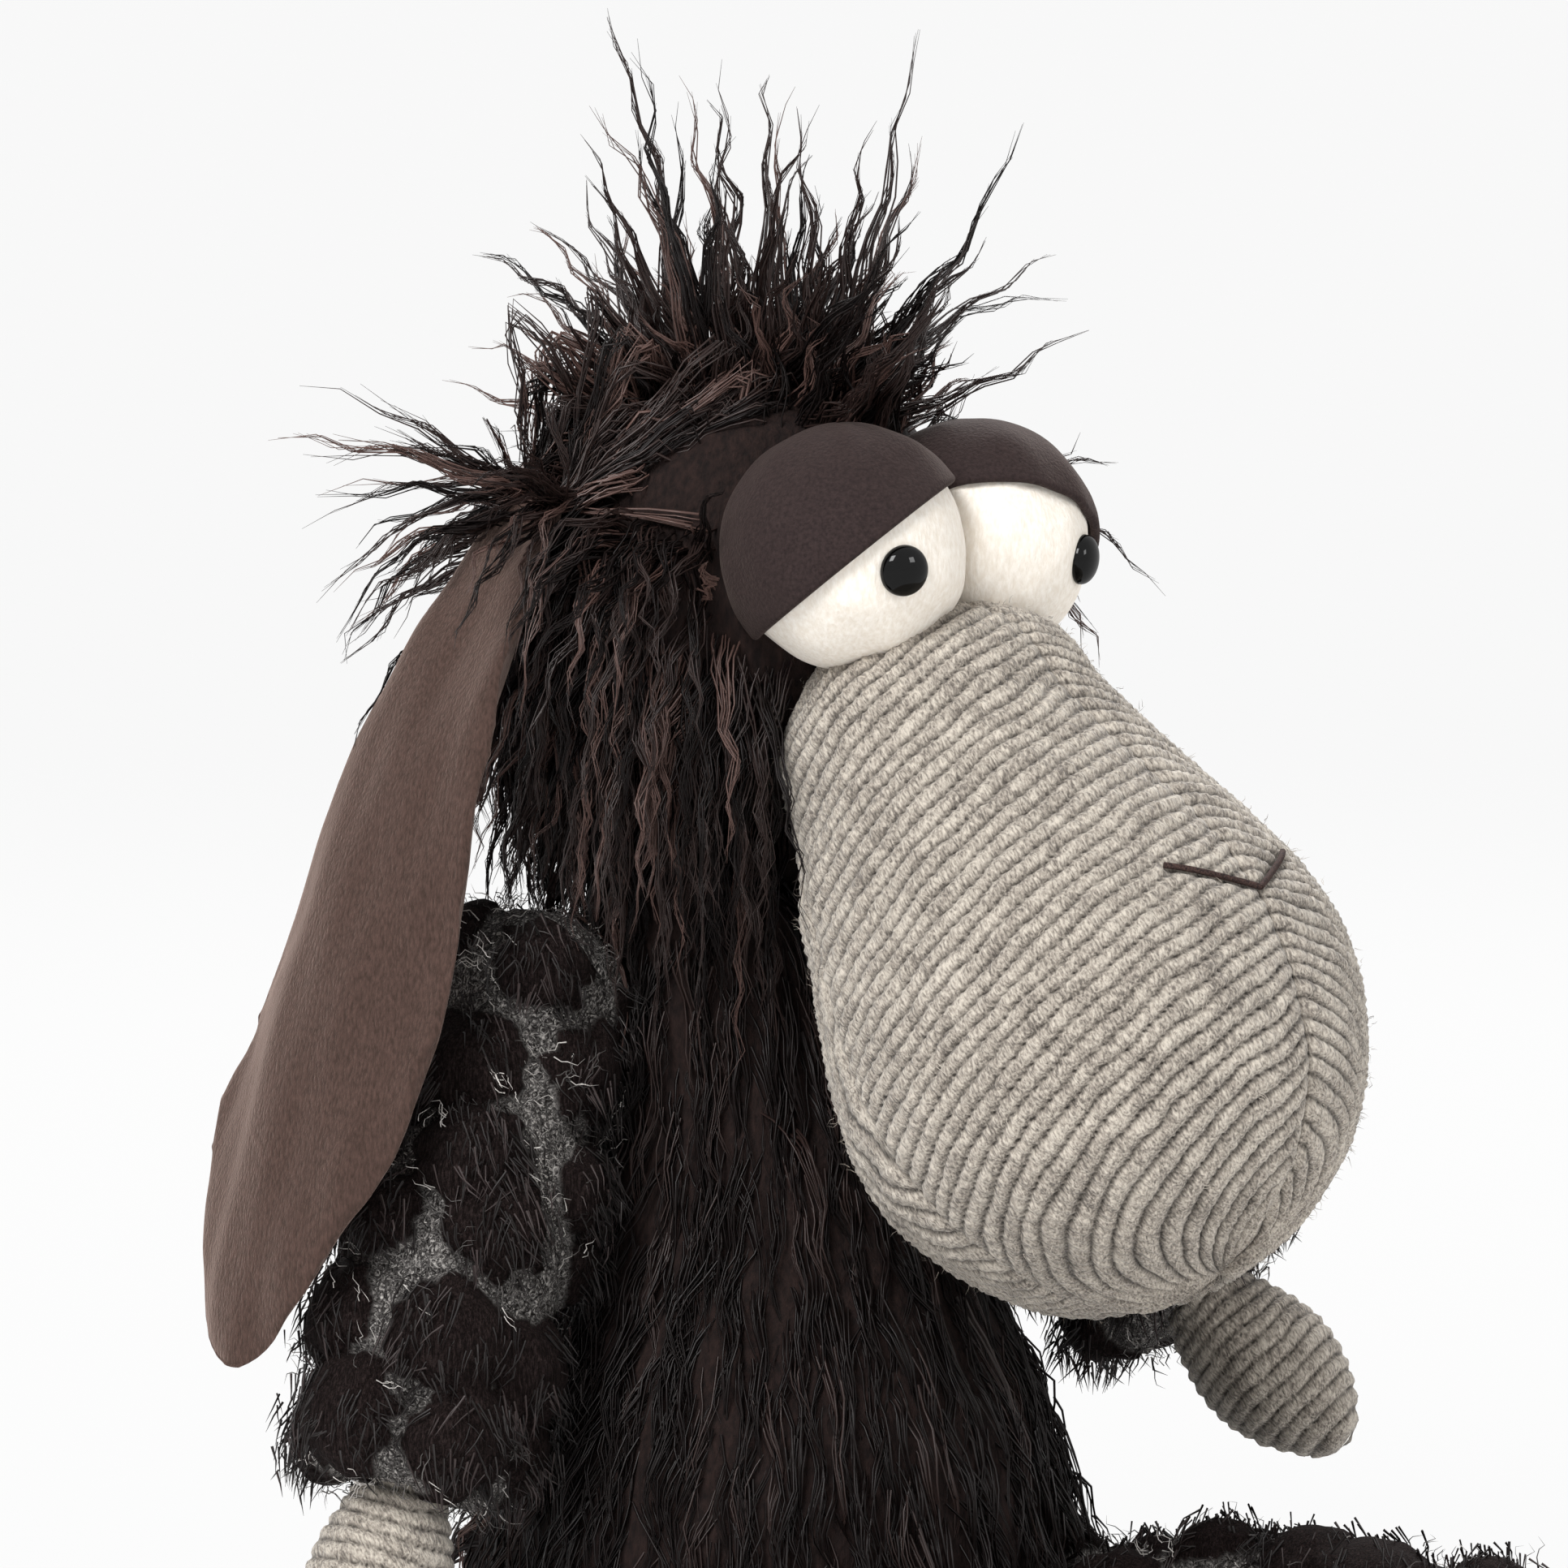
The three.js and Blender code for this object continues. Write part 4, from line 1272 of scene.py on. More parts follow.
class LockTree:
    """The geometry tree that turns guide lines into locks of fine hairs."""

    INPUTS = {
        "Hairs in a lock": "NodeSocketInt",
        "Points on a hair": "NodeSocketInt",
        "Lock radius": "NodeSocketFloat",
        "Hair radius": "NodeSocketFloat",
        "Wave height": "NodeSocketFloat",
        "Wave length": "NodeSocketFloat",
        "Frizz": "NodeSocketFloat",
        "Clump": "NodeSocketFloat",
        "Seed": "NodeSocketInt",
        "First fibre": "NodeSocketMaterial",
        "Second fibre": "NodeSocketMaterial",
        "Third fibre": "NodeSocketMaterial",
    }

    def __init__(self) -> None:
        """Builds the tree once."""
        self.tree = bpy.data.node_groups.new("locks of hair", "GeometryNodeTree")
        self.sockets = {}
        interface = self.tree.interface
        interface.new_socket("Guides", in_out="INPUT", socket_type="NodeSocketGeometry")
        for name, kind in self.INPUTS.items():
            self.sockets[name] = interface.new_socket(
                name, in_out="INPUT", socket_type=kind
            ).identifier
        interface.new_socket("Locks", in_out="OUTPUT", socket_type="NodeSocketGeometry")
        self.sizes = add_node(self.tree, "NodeGroupInput").outputs
        hairs = self.hairs()
        self.finish(self.shaped(hairs))

    def chance(self, kind: str, low: float | tuple, high: float | tuple, step: int) -> bpy.types.NodeSocket:
        """A random value that follows the tree's seed.

        Args:
            kind: FLOAT or FLOAT_VECTOR.
            low: The least value.
            high: The greatest value.
            step: What is added to the seed, so that each value has its own.

        Returns:
            The value for each spline.
        """
        seed = add_node(
            self.tree, "ShaderNodeMath", {"operation": "ADD", 1: float(step)}, {0: self.sizes["Seed"]}
        )
        first = 0 if kind == "FLOAT_VECTOR" else 2
        node = add_node(
            self.tree,
            "FunctionNodeRandomValue",
            {"data_type": kind, first: low, first + 1: high},
            {"Seed": seed.outputs[0]},
        )
        return node.outputs[0 if kind == "FLOAT_VECTOR" else 1]

    def kept(self, geometry: bpy.types.NodeSocket, name: str, kind: str, value: bpy.types.NodeSocket) -> bpy.types.NodeSocket:
        """Keeps a value on each spline under a name.

        Args:
            geometry: The splines.
            name: The value's name.
            kind: FLOAT or FLOAT_VECTOR.
            value: The value.

        Returns:
            The splines with it.
        """
        node = add_node(
            self.tree,
            "GeometryNodeStoreNamedAttribute",
            {"data_type": kind, "domain": "CURVE", "Name": name},
            {"Geometry": geometry, "Value": value},
        )
        return node.outputs[0]

    def named(self, name: str, kind: str = "FLOAT") -> bpy.types.NodeSocket:
        """Reads a kept value."""
        node = add_node(
            self.tree, "GeometryNodeInputNamedAttribute", {"data_type": kind, "Name": name}
        )
        return node.outputs[0]

    def hairs(self) -> bpy.types.NodeSocket:
        """Copies each guide into the hairs of its lock, each cut to a length of its own."""
        tree = self.tree
        lines = add_node(tree, "GeometryNodeMeshToCurve", {}, {"Mesh": self.sizes["Guides"]})
        locks = self.kept(
            lines.outputs[0], "lock_turn", "FLOAT", self.chance("FLOAT", 0.0, 2 * math.pi, 0)
        )
        locks = self.kept(locks, "lock_tone", "FLOAT", self.chance("FLOAT", 0.0, 1.0, 1))
        copies = add_node(
            tree,
            "GeometryNodeDuplicateElements",
            {"domain": "SPLINE"},
            {"Geometry": locks, "Amount": self.sizes["Hairs in a lock"]},
        )
        hairs = self.kept(
            copies.outputs["Geometry"],
            "hair_aside",
            "FLOAT_VECTOR",
            self.chance("FLOAT_VECTOR", (-1.0, -1.0, -1.0), (1.0, 1.0, 1.0), 2),
        )
        hairs = self.kept(hairs, "hair_own", "FLOAT", self.chance("FLOAT", 0.0, 1.0, 3))
        end = add_node(
            tree,
            "ShaderNodeMath",
            {"operation": "MULTIPLY_ADD", 1: 0.4, 2: 0.6},
            {0: self.named("hair_own")},
        )
        cut = add_node(
            tree, "GeometryNodeTrimCurve", {"mode": "FACTOR"}, {"Curve": hairs, 3: end.outputs[0]}
        )
        even = add_node(
            tree,
            "GeometryNodeResampleCurve",
            {},
            {"Curve": cut.outputs[0], "Count": self.sizes["Points on a hair"]},
        )
        return even.outputs[0]

    def shaped(self, hairs: bpy.types.NodeSocket) -> bpy.types.NodeSocket:
        """Spreads the hairs at the root, draws them together at the tip and crimps them."""
        tree = self.tree
        share = add_node(tree, "GeometryNodeSplineParameter").outputs
        self.share = share["Factor"]
        turns = add_node(
            tree,
            "ShaderNodeMath",
            {"operation": "DIVIDE", 0: 2 * math.pi},
            {1: self.sizes["Wave length"]},
        )
        swing = add_node(
            tree,
            "ShaderNodeMath",
            {"operation": "MULTIPLY_ADD"},
            {0: share["Length"], 1: turns.outputs[0], 2: self.named("lock_turn")},
        )
        own = add_node(
            tree,
            "ShaderNodeMath",
            {"operation": "MULTIPLY_ADD", 1: 1.3},
            {0: self.named("hair_own"), 2: swing.outputs[0]},
        )
        fade = add_node(
            tree, "ShaderNodeMath", {"operation": "POWER", 1: 0.6}, {0: self.share}
        )
        height = add_node(
            tree,
            "ShaderNodeMath",
            {"operation": "MULTIPLY"},
            {0: fade.outputs[0], 1: self.sizes["Wave height"]},
        )
        normal = add_node(tree, "GeometryNodeInputNormal").outputs["Normal"]
        tangent = add_node(tree, "GeometryNodeInputTangent").outputs[0]
        aside = add_node(
            tree,
            "ShaderNodeVectorMath",
            {"operation": "CROSS_PRODUCT"},
            {0: normal, 1: tangent},
        ).outputs[0]
        moves = []
        for kind, rate, direction in (("SINE", 1.0, normal), ("COSINE", 0.83, aside)):
            angle = add_node(
                tree, "ShaderNodeMath", {"operation": "MULTIPLY", 1: rate}, {0: own.outputs[0]}
            )
            wave = add_node(tree, "ShaderNodeMath", {"operation": kind}, {0: angle.outputs[0]})
            size = add_node(
                tree,
                "ShaderNodeMath",
                {"operation": "MULTIPLY"},
                {0: wave.outputs[0], 1: height.outputs[0]},
            )
            moves.append(
                add_node(
                    tree,
                    "ShaderNodeVectorMath",
                    {"operation": "SCALE"},
                    {0: direction, "Scale": size.outputs[0]},
                )
            )
        closing = add_node(
            tree,
            "ShaderNodeMath",
            {"operation": "MULTIPLY"},
            {0: self.share, 1: self.sizes["Clump"]},
        )
        spread = add_node(
            tree, "ShaderNodeMath", {"operation": "SUBTRACT", 0: 1.0}, {1: closing.outputs[0]}
        )
        drawn = add_node(
            tree, "ShaderNodeMath", {"operation": "POWER", 1: 1.5}, {0: spread.outputs[0]}
        )
        wide = add_node(
            tree,
            "ShaderNodeMath",
            {"operation": "MULTIPLY"},
            {0: drawn.outputs[0], 1: self.sizes["Lock radius"]},
        )
        moves.append(
            add_node(
                tree,
                "ShaderNodeVectorMath",
                {"operation": "SCALE"},
                {0: self.named("hair_aside", "FLOAT_VECTOR"), "Scale": wide.outputs[0]},
            )
        )
        moves.append(self.frizz())
        total = moves[0]
        for move in moves[1:]:
            total = add_node(
                tree,
                "ShaderNodeVectorMath",
                {"operation": "ADD"},
                {0: total.outputs[0], 1: move.outputs[0]},
            )
        placed = add_node(
            tree, "GeometryNodeSetPosition", {}, {"Geometry": hairs, "Offset": total.outputs[0]}
        )
        return placed.outputs[0]

    def frizz(self) -> bpy.types.Node:
        """Loose, uneven wandering that grows towards the tip."""
        tree = self.tree
        place = add_node(tree, "GeometryNodeInputPosition")
        apart = add_node(
            tree,
            "ShaderNodeVectorMath",
            {"operation": "SCALE", "Scale": 0.0012},
            {0: self.named("hair_aside", "FLOAT_VECTOR")},
        )
        where = add_node(
            tree,
            "ShaderNodeVectorMath",
            {"operation": "ADD"},
            {0: place.outputs[0], 1: apart.outputs[0]},
        )
        noise = add_node(
            tree, "ShaderNodeTexNoise", {"Scale": 110.0, "Detail": 1.0}, {"Vector": where.outputs[0]}
        )
        centred = add_node(
            tree,
            "ShaderNodeVectorMath",
            {"operation": "SUBTRACT", 1: (0.5, 0.5, 0.5)},
            {0: noise.outputs["Color"]},
        )
        size = add_node(
            tree,
            "ShaderNodeMath",
            {"operation": "MULTIPLY"},
            {0: self.share, 1: self.sizes["Frizz"]},
        )
        return add_node(
            tree,
            "ShaderNodeVectorMath",
            {"operation": "SCALE"},
            {0: centred.outputs[0], "Scale": size.outputs[0]},
        )

    def finish(self, hairs: bpy.types.NodeSocket) -> None:
        """Gives the hairs their taper and their three fibres, and ends the tree."""
        tree = self.tree
        left = add_node(tree, "ShaderNodeMath", {"operation": "SUBTRACT", 0: 1.03}, {1: self.share})
        taper = add_node(
            tree, "ShaderNodeMath", {"operation": "POWER", 1: 0.65}, {0: left.outputs[0]}
        )
        own = add_node(
            tree,
            "ShaderNodeMath",
            {"operation": "MULTIPLY_ADD", 1: 0.5, 2: 0.75},
            {0: self.named("hair_own")},
        )
        size = add_node(
            tree,
            "ShaderNodeMath",
            {"operation": "MULTIPLY"},
            {0: taper.outputs[0], 1: own.outputs[0]},
        )
        radius = add_node(
            tree,
            "ShaderNodeMath",
            {"operation": "MULTIPLY"},
            {0: size.outputs[0], 1: self.sizes["Hair radius"]},
        )
        section = add_node(
            tree, "GeometryNodeCurvePrimitiveCircle", {"Resolution": 3, "Radius": 1.0}
        )
        joined = add_node(tree, "GeometryNodeJoinGeometry")
        rest = hairs
        for name, limit in (("First fibre", 0.5), ("Second fibre", 0.72), ("Third fibre", 2.0)):
            test = add_node(
                tree,
                "ShaderNodeMath",
                {"operation": "LESS_THAN", 1: limit},
                {0: self.named("lock_tone")},
            )
            parted = add_node(
                tree,
                "GeometryNodeSeparateGeometry",
                {"domain": "CURVE"},
                {"Geometry": rest, "Selection": test.outputs[0]},
            )
            rest = parted.outputs["Inverted"]
            tube = add_node(
                tree,
                "GeometryNodeCurveToMesh",
                {"Fill Caps": True},
                {
                    "Curve": parted.outputs["Selection"],
                    "Profile Curve": section.outputs[0],
                    "Scale": radius.outputs[0],
                },
            )
            shaded = add_node(
                tree,
                "GeometryNodeSetMaterial",
                {},
                {"Geometry": tube.outputs[0], "Material": self.sizes[name]},
            )
            tree.links.new(shaded.outputs[0], joined.inputs[0])
        real = add_node(tree, "GeometryNodeRealizeInstances", {}, {0: joined.outputs[0]})
        add_node(tree, "NodeGroupOutput", {}, {0: real.outputs[0]})

    def grown(
        self, name: str, guides: Array, coat: Coat, fibres: list[bpy.types.Material], seed: int
    ) -> bpy.types.Object:
        """Makes one plain mesh of locks.

        Args:
            name: The piece's name.
            guides: The guide lines in millimetres, as lines, points and coordinates.
            coat: How the locks look.
            fibres: Three materials, which the locks share out.
            seed: Picks everything random.

        Returns:
            The piece.
        """
        lines, points = guides.shape[:2]
        first = np.arange(lines * points).reshape(lines, points)
        edges = np.stack([first[:, :-1].ravel(), first[:, 1:].ravel()], axis=1)
        mesh = bpy.data.meshes.new(name)
        mesh.from_pydata((guides.reshape(-1, 3) * MM).tolist(), edges.tolist(), [])
        piece = place_mesh(name, mesh)
        values = {
            "Hairs in a lock": coat.hairs,
            "Points on a hair": coat.points,
            "Lock radius": coat.lock_mm * MM,
            "Hair radius": coat.hair_mm * MM,
            "Wave height": coat.wave_mm * MM,
            "Wave length": coat.wave_length_mm * MM,
            "Frizz": coat.frizz_mm * MM,
            "Clump": coat.clump,
            "Seed": seed,
            "First fibre": fibres[0],
            "Second fibre": fibres[1],
            "Third fibre": fibres[2],
        }
        modifier = piece.modifiers.new("Locks", "NODES")
        modifier.node_group = self.tree
        for key, value in values.items():
            modifier[self.sockets[key]] = value
        settled(piece)
        for layer in list(piece.data.attributes):
            if layer.name.startswith(("lock_", "hair_")):
                piece.data.attributes.remove(layer)
        piece.data.shade_smooth()
        return piece


@dataclass(frozen=True)
class Stretch:
    """One piece of pile: where it grows, how it is brushed and how many locks it has."""

    name: str
    body: str
    count: int
    coat: Coat
    keep: Callable[[Array, Array], Array]
    brush: Callable[[Array, Array], Array]
    seed: int
    room_mm: float = 3.0


@dataclass
class Groom:
    """Plants lock roots on a skin and lets the guides fall under their weight."""

    locks: LockTree
    obstacles: dict[str, Obstacle]
    floor_mm: float = 6.5
    ceiling_mm: float = 425.0
    stray: float = 0.25
    sway: float = 0.1
    rare_long: float = 1.7

    def roots(self, skin: bpy.types.Object, stretch: Stretch) -> tuple[Array, Array]:
        """Scatters roots evenly over part of a skin, where nothing else is in the way.

        Args:
            skin: The skin.
            stretch: The pile that grows there.

        Returns:
            The roots and the skin's normals there.
        """
        rng = np.random.default_rng(stretch.seed)
        points, facing = coords(skin.data), normals(skin.data)
        skin.data.calc_loop_triangles()
        flat = np.zeros(len(skin.data.loop_triangles) * 3, np.int32)
        skin.data.loop_triangles.foreach_get("vertices", flat)
        corners = flat.reshape(-1, 3)
        middle = points[corners].mean(axis=1)
        corners = corners[stretch.keep(middle, unit(facing[corners].mean(axis=1)))]
        a, b, c = (points[corners[:, k]] for k in range(3))
        area = np.linalg.norm(np.cross(b - a, c - a), axis=1) / 2
        spacing = 0.58 * math.sqrt(area.sum() / stretch.count)
        tries = rng.choice(len(corners), size=stretch.count * 16, p=area / area.sum())
        u, v = rng.uniform(size=(2, len(tries), 1))
        u, v = np.where(u + v > 1, 1 - u, u), np.where(u + v > 1, 1 - v, v)
        spots = a[tries] + u * (b[tries] - a[tries]) + v * (c[tries] - a[tries])
        out = unit(facing[corners[tries]].mean(axis=1))
        others = [o for name, o in self.obstacles.items() if name != skin.name]
        chosen: list[int] = []
        for k, spot in enumerate(spots):
            if len(chosen) >= stretch.count:
                break
            near = spots[chosen] - spot if chosen else np.full((1, 3), 1e9)
            if (near * near).sum(axis=1).min() < spacing * spacing:
                continue
            place = Vector(spot)
            if all(other.reach(place)[2] > stretch.room_mm for other in others):
                chosen.append(k)
        return spots[chosen], out[chosen]

    def guides(self, roots: Array, out: Array, stretch: Stretch) -> Array:
        """Grows one guide from each root.

        Args:
            roots: Where the locks start.
            out: The skin's normals there.
            stretch: The pile that grows there.

        Returns:
            The guides, as lines, points and coordinates.
        """
        rng = np.random.default_rng(stretch.seed)
        coat, count = stretch.coat, len(roots)
        comb = unit(stretch.brush(roots, out))
        least, most = coat.length_mm
        length = least + (most - least) * rng.uniform(size=(count, 1)) ** self.rare_long
        heading = unit(out * coat.lift + comb * (1 - coat.lift))
        heading = unit(heading + rng.normal(scale=self.stray, size=(count, 3)))
        place = roots - out * 1.5
        line = [place]
        for step in range(coat.steps):
            fall = coat.droop * (0.3 + 0.7 * (step + 1) / coat.steps)
            sway = rng.normal(scale=self.sway, size=(count, 3))
            heading = unit(heading + DOWN * fall * 0.8 + comb * 0.12 + sway)
            place = place + heading * length / coat.steps
            if step > 0:
                place = np.array([self.clear(Vector(p)) for p in place])
            line.append(place)
        return np.stack(line, axis=1)

    def clear(self, place: Vector) -> Vector:
        """Moves one point out of every skin and off the floor."""
        for obstacle in self.obstacles.values():
            place = obstacle.pushed(place)
        place.z = min(max(place.z, self.floor_mm), self.ceiling_mm)
        return place

    def grow(
        self, skin: bpy.types.Object, stretch: Stretch, fibres: list[bpy.types.Material], slot: str
    ) -> bpy.types.Object:
        """Grows one stretch of pile and dresses it.

        Args:
            skin: The skin that it grows on.
            stretch: The pile.
            fibres: Three materials, which its locks share out.
            slot: The record's material slot.

        Returns:
            The piece.
        """
        roots, out = self.roots(skin, stretch)
        guides = self.guides(roots, out, stretch)
        piece = self.locks.grown(stretch.name, guides, stretch.coat, fibres, stretch.seed)
        return dress(piece, stretch.body, slot)


@dataclass
class ShaggyCoat:
    """The black long pile of head, neck, torso and tail, with the standing locks of the crown."""

    finishes: Finishes
    groom: Groom
    head_mm: tuple[float, float, float] = (0.0, 0.0, 285.0)
    crown_coat: Coat = Coat((46, 96), 0.8, 0.02, 4.0, 0.34, 14, 11, 1.5, 22.0, 6.0)
    mass_coat: Coat = Coat((26, 44), 0.75, 0.1, 3.8, 0.34, 10, 8, 1.6, 14.0, 6.0)
    ring_coat: Coat = Coat((38, 88), 0.85, 0.1, 4.0, 0.33, 12, 10, 1.5, 19.0, 5.0)
    fringe_coat: Coat = Coat((44, 78), 0.7, 0.45, 3.8, 0.33, 11, 10, 1.6, 17.0, 5.0)
    brow_coat: Coat = Coat((26, 70), 0.55, 0.06, 3.8, 0.33, 11, 9, 1.4, 17.0, 5.0)
    temple_coat: Coat = Coat((50, 66), 0.6, 0.5, 3.6, 0.33, 10, 10, 1.5, 16.0, 4.0)
    cheek_coat: Coat = Coat((56, 76), 0.35, 0.75, 3.6, 0.33, 10, 10, 1.6, 16.0, 4.0)
    torso_coat: Coat = Coat((44, 66), 0.35, 0.8, 4.0, 0.37, 8, 9, 1.9, 26.0, 4.0)
    veil_coat: Coat = Coat((44, 66), 0.75, 0.95, 3.4, 0.3, 10, 10, 1.6, 16.0, 4.0)
    nape_coat: Coat = Coat((46, 70), 0.6, 0.55, 3.8, 0.36, 9, 9, 1.6, 17.0, 4.0)
    tail_coat: Coat = Coat((14, 22), 0.7, 0.4, 3.4, 0.33, 9, 6, 1.0, 14.0, 2.0)

    def rise(self, points: Array) -> Array:
        """How far points stand over the head's middle."""
        return points[:, 2] - self.head_mm[2]

    def band(self, low: float, high: float, sign: int = 0) -> Callable[[Array, Array], Array]:
        """A level of the head between two heights over its middle.

        Args:
            low: The lower height.
            high: The upper height.
            sign: The half that it keeps to, or 0 for both.

        Returns:
            The test for points and normals.
        """

        def chosen(points: Array, facing: Array) -> Array:
            rise = self.rise(points)
            return (rise > low) & (rise <= high) & (sign * points[:, 0] > -0.01)

        return chosen

    def ahead(self, points: Array) -> Array:
        """The strip of the head over the eyes."""
        return (points[:, 1] < -14) & (np.abs(points[:, 0]) < 46)

    def over_ear(self, points: Array) -> Array:
        """The sides of the head just in front of and over an ear's root."""
        return (points[:, 1] > -34) & (points[:, 1] < 4)

    def build(self, skins: dict[str, bpy.types.Object]) -> None:
        """Grows every stretch of the coat and dresses it."""
        head, torso = skins["head"], skins["torso"]
        pile = self.finishes.pile
        # Painted shade: the torso's locks take mostly the deep black fibre, so its fur comes out darker
        # than the head's.
        deep = [pile[2], pile[0], pile[2]]

        def fan(points: Array, out: Array) -> Array:
            return UP * 0.9 + out * np.array([0.8, 0.5, 0.1])

        def outwards(points: Array, out: Array) -> Array:
            return out * np.array([1.2, 1.0, 0.0]) + UP * 0.22

        def over_lids(points: Array, out: Array) -> Array:
            return UP * 0.8 + out * np.array([1.0, 0.7, 0]) + np.array([0.25, -0.1, 0])

        def hanging(points: Array, out: Array) -> Array:
            front = np.clip(-points[:, 1:2] / 40, 0, 1) * (points[:, :1] > 0)
            return DOWN + out * (0.35 + 0.5 * front)

        def nape(points: Array, out: Array) -> Array:
            return DOWN + out * np.array([1.0, 0.5, 0.0])

        def veil(points: Array, out: Array) -> Array:
            return out * np.array([1.0, 0.6, 0.0]) + np.array([0.0, -0.35, 0.1])

        def low_hanging(points: Array, out: Array) -> Array:
            return DOWN + out * 0.12

        stretches = [
            Stretch("crown_locks", "head", 38, self.crown_coat, self.band(48, 99), fan, 71),
            Stretch("crown_mass", "head", 130, self.mass_coat, self.band(34, 99), fan, 70, 1.5),
            Stretch(
                "ring_locks",
                "head",
                92,
                self.ring_coat,
                lambda p, n: self.band(27, 50)(p, n) & ~self.ahead(p),
                outwards,
                172,
            ),
            Stretch(
                "fringe_locks",
                "head",
                100,
                self.fringe_coat,
                lambda p, n: self.band(10, 27)(p, n) & ~self.ahead(p),
                outwards,
                79,
            ),
            Stretch(
                "brow_locks",
                "head",
                100,
                self.brow_coat,
                lambda p, n: self.band(5, 50)(p, n) & self.ahead(p),
                over_lids,
                73,
            ),
        ]
        stretches.append(
            Stretch(
                "nape_locks",
                "head",
                84,
                self.nape_coat,
                lambda p, n: self.band(-50, 4)(p, n) & (p[:, 1] > 6),
                nape,
                94,
            )
        )
        for sign, side in SIDE_NAMES.items():
            stretches += [
                Stretch(
                    f"ear_veil_locks_{side}",
                    "head",
                    22,
                    self.veil_coat,
                    lambda p, n, sign=sign: self.band(6, 30, sign)(p, n) & self.over_ear(p),
                    veil,
                    90 + sign,
                ),
                Stretch(
                    f"temple_locks_{side}",
                    "head",
                    60,
                    self.temple_coat,
                    lambda p, n, sign=sign: self.band(-6, 10, sign)(p, n) & ~self.ahead(p),
                    hanging,
                    74 + sign,
                ),
                Stretch(
                    f"cheek_locks_{side}",
                    "head",
                    185 if sign == RIGHT else 140,
                    self.cheek_coat,
                    self.band(-54, -6, sign),
                    hanging,
                    77 + sign,
                ),
            ]
        for stretch in stretches:
            piece = self.groom.grow(head, stretch, pile, "shaggy_fur")
            if stretch.name == "crown_locks":
                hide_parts("crown_tuft")
        upright = lambda p: (p[:, 2] > 5) & (p[:, 2] < 219)
        for sign, side in SIDE_NAMES.items():
            self.groom.grow(
                torso,
                Stretch(
                    f"torso_locks_{side}",
                    "torso",
                    305 if sign == RIGHT else 240,
                    self.torso_coat,
                    lambda p, n, sign=sign: (sign * p[:, 0] > 0) & (n[:, 1] < 0.35) & upright(p),
                    low_hanging,
                    82 + sign,
                ),
                deep,
                "shaggy_fur",
            )
        self.groom.grow(
            torso,
            Stretch(
                "torso_locks_back",
                "torso",
                210,
                self.torso_coat,
                lambda p, n: (n[:, 1] >= 0.35) & upright(p),
                low_hanging,
                85,
            ),
            deep,
            "shaggy_fur",
        )
        everywhere = lambda p, n: np.abs(n[:, 2]) < 0.9
        self.groom.grow(
            skins["tail"],
            Stretch("tail_locks", "tail", 60, self.tail_coat, everywhere, low_hanging, 87, -1.0),
            pile,
            "shaggy_fur",
        )


@dataclass
class WoolFuzz:
    """Loose wool fibres that stand off the knit."""

    finishes: Finishes
    locks: LockTree
    fibres_in_cm2: float = 1.4
    coat: Coat = Coat((1.6, 3.2), 0.6, 0.0, 1.4, 0.07, 3, 3, 0.5, 2.5, 1.5, 0.0, 3)

    def build(self, knits: list[bpy.types.Object], body: str, seed: int) -> None:
        """Grows fuzz on some knitted pieces of one body.

        Args:
            knits: The knitted pieces.
            body: The body that carries them.
            seed: Picks the places.
        """
        for number, knit in enumerate(knits):
            rng = np.random.default_rng(seed + number)
            points, facing = coords(knit.data), normals(knit.data)
            area = sum(f.area for f in knit.data.polygons) * 1e4
            count = min(len(points), int(area * self.fibres_in_cm2))
            chosen = rng.choice(len(points), count, replace=False)
            place, out = points[chosen], facing[chosen]
            heading = unit(out * self.coat.lift + unit(rng.normal(size=(count, 3))) * 0.6)
            length = rng.uniform(*self.coat.length_mm, size=(count, 1))
            steps = np.linspace(0, 1, self.coat.steps + 1)
            line = [place - out * 0.2 + heading * length * t for t in steps]
            guides = np.stack(line, axis=1)
            fibres = self.finishes.wool_fuzz
            piece = self.locks.grown(f"{knit.name}_fuzz", guides, self.coat, fibres, seed + number)
            dress(piece, body, "snout_knit")


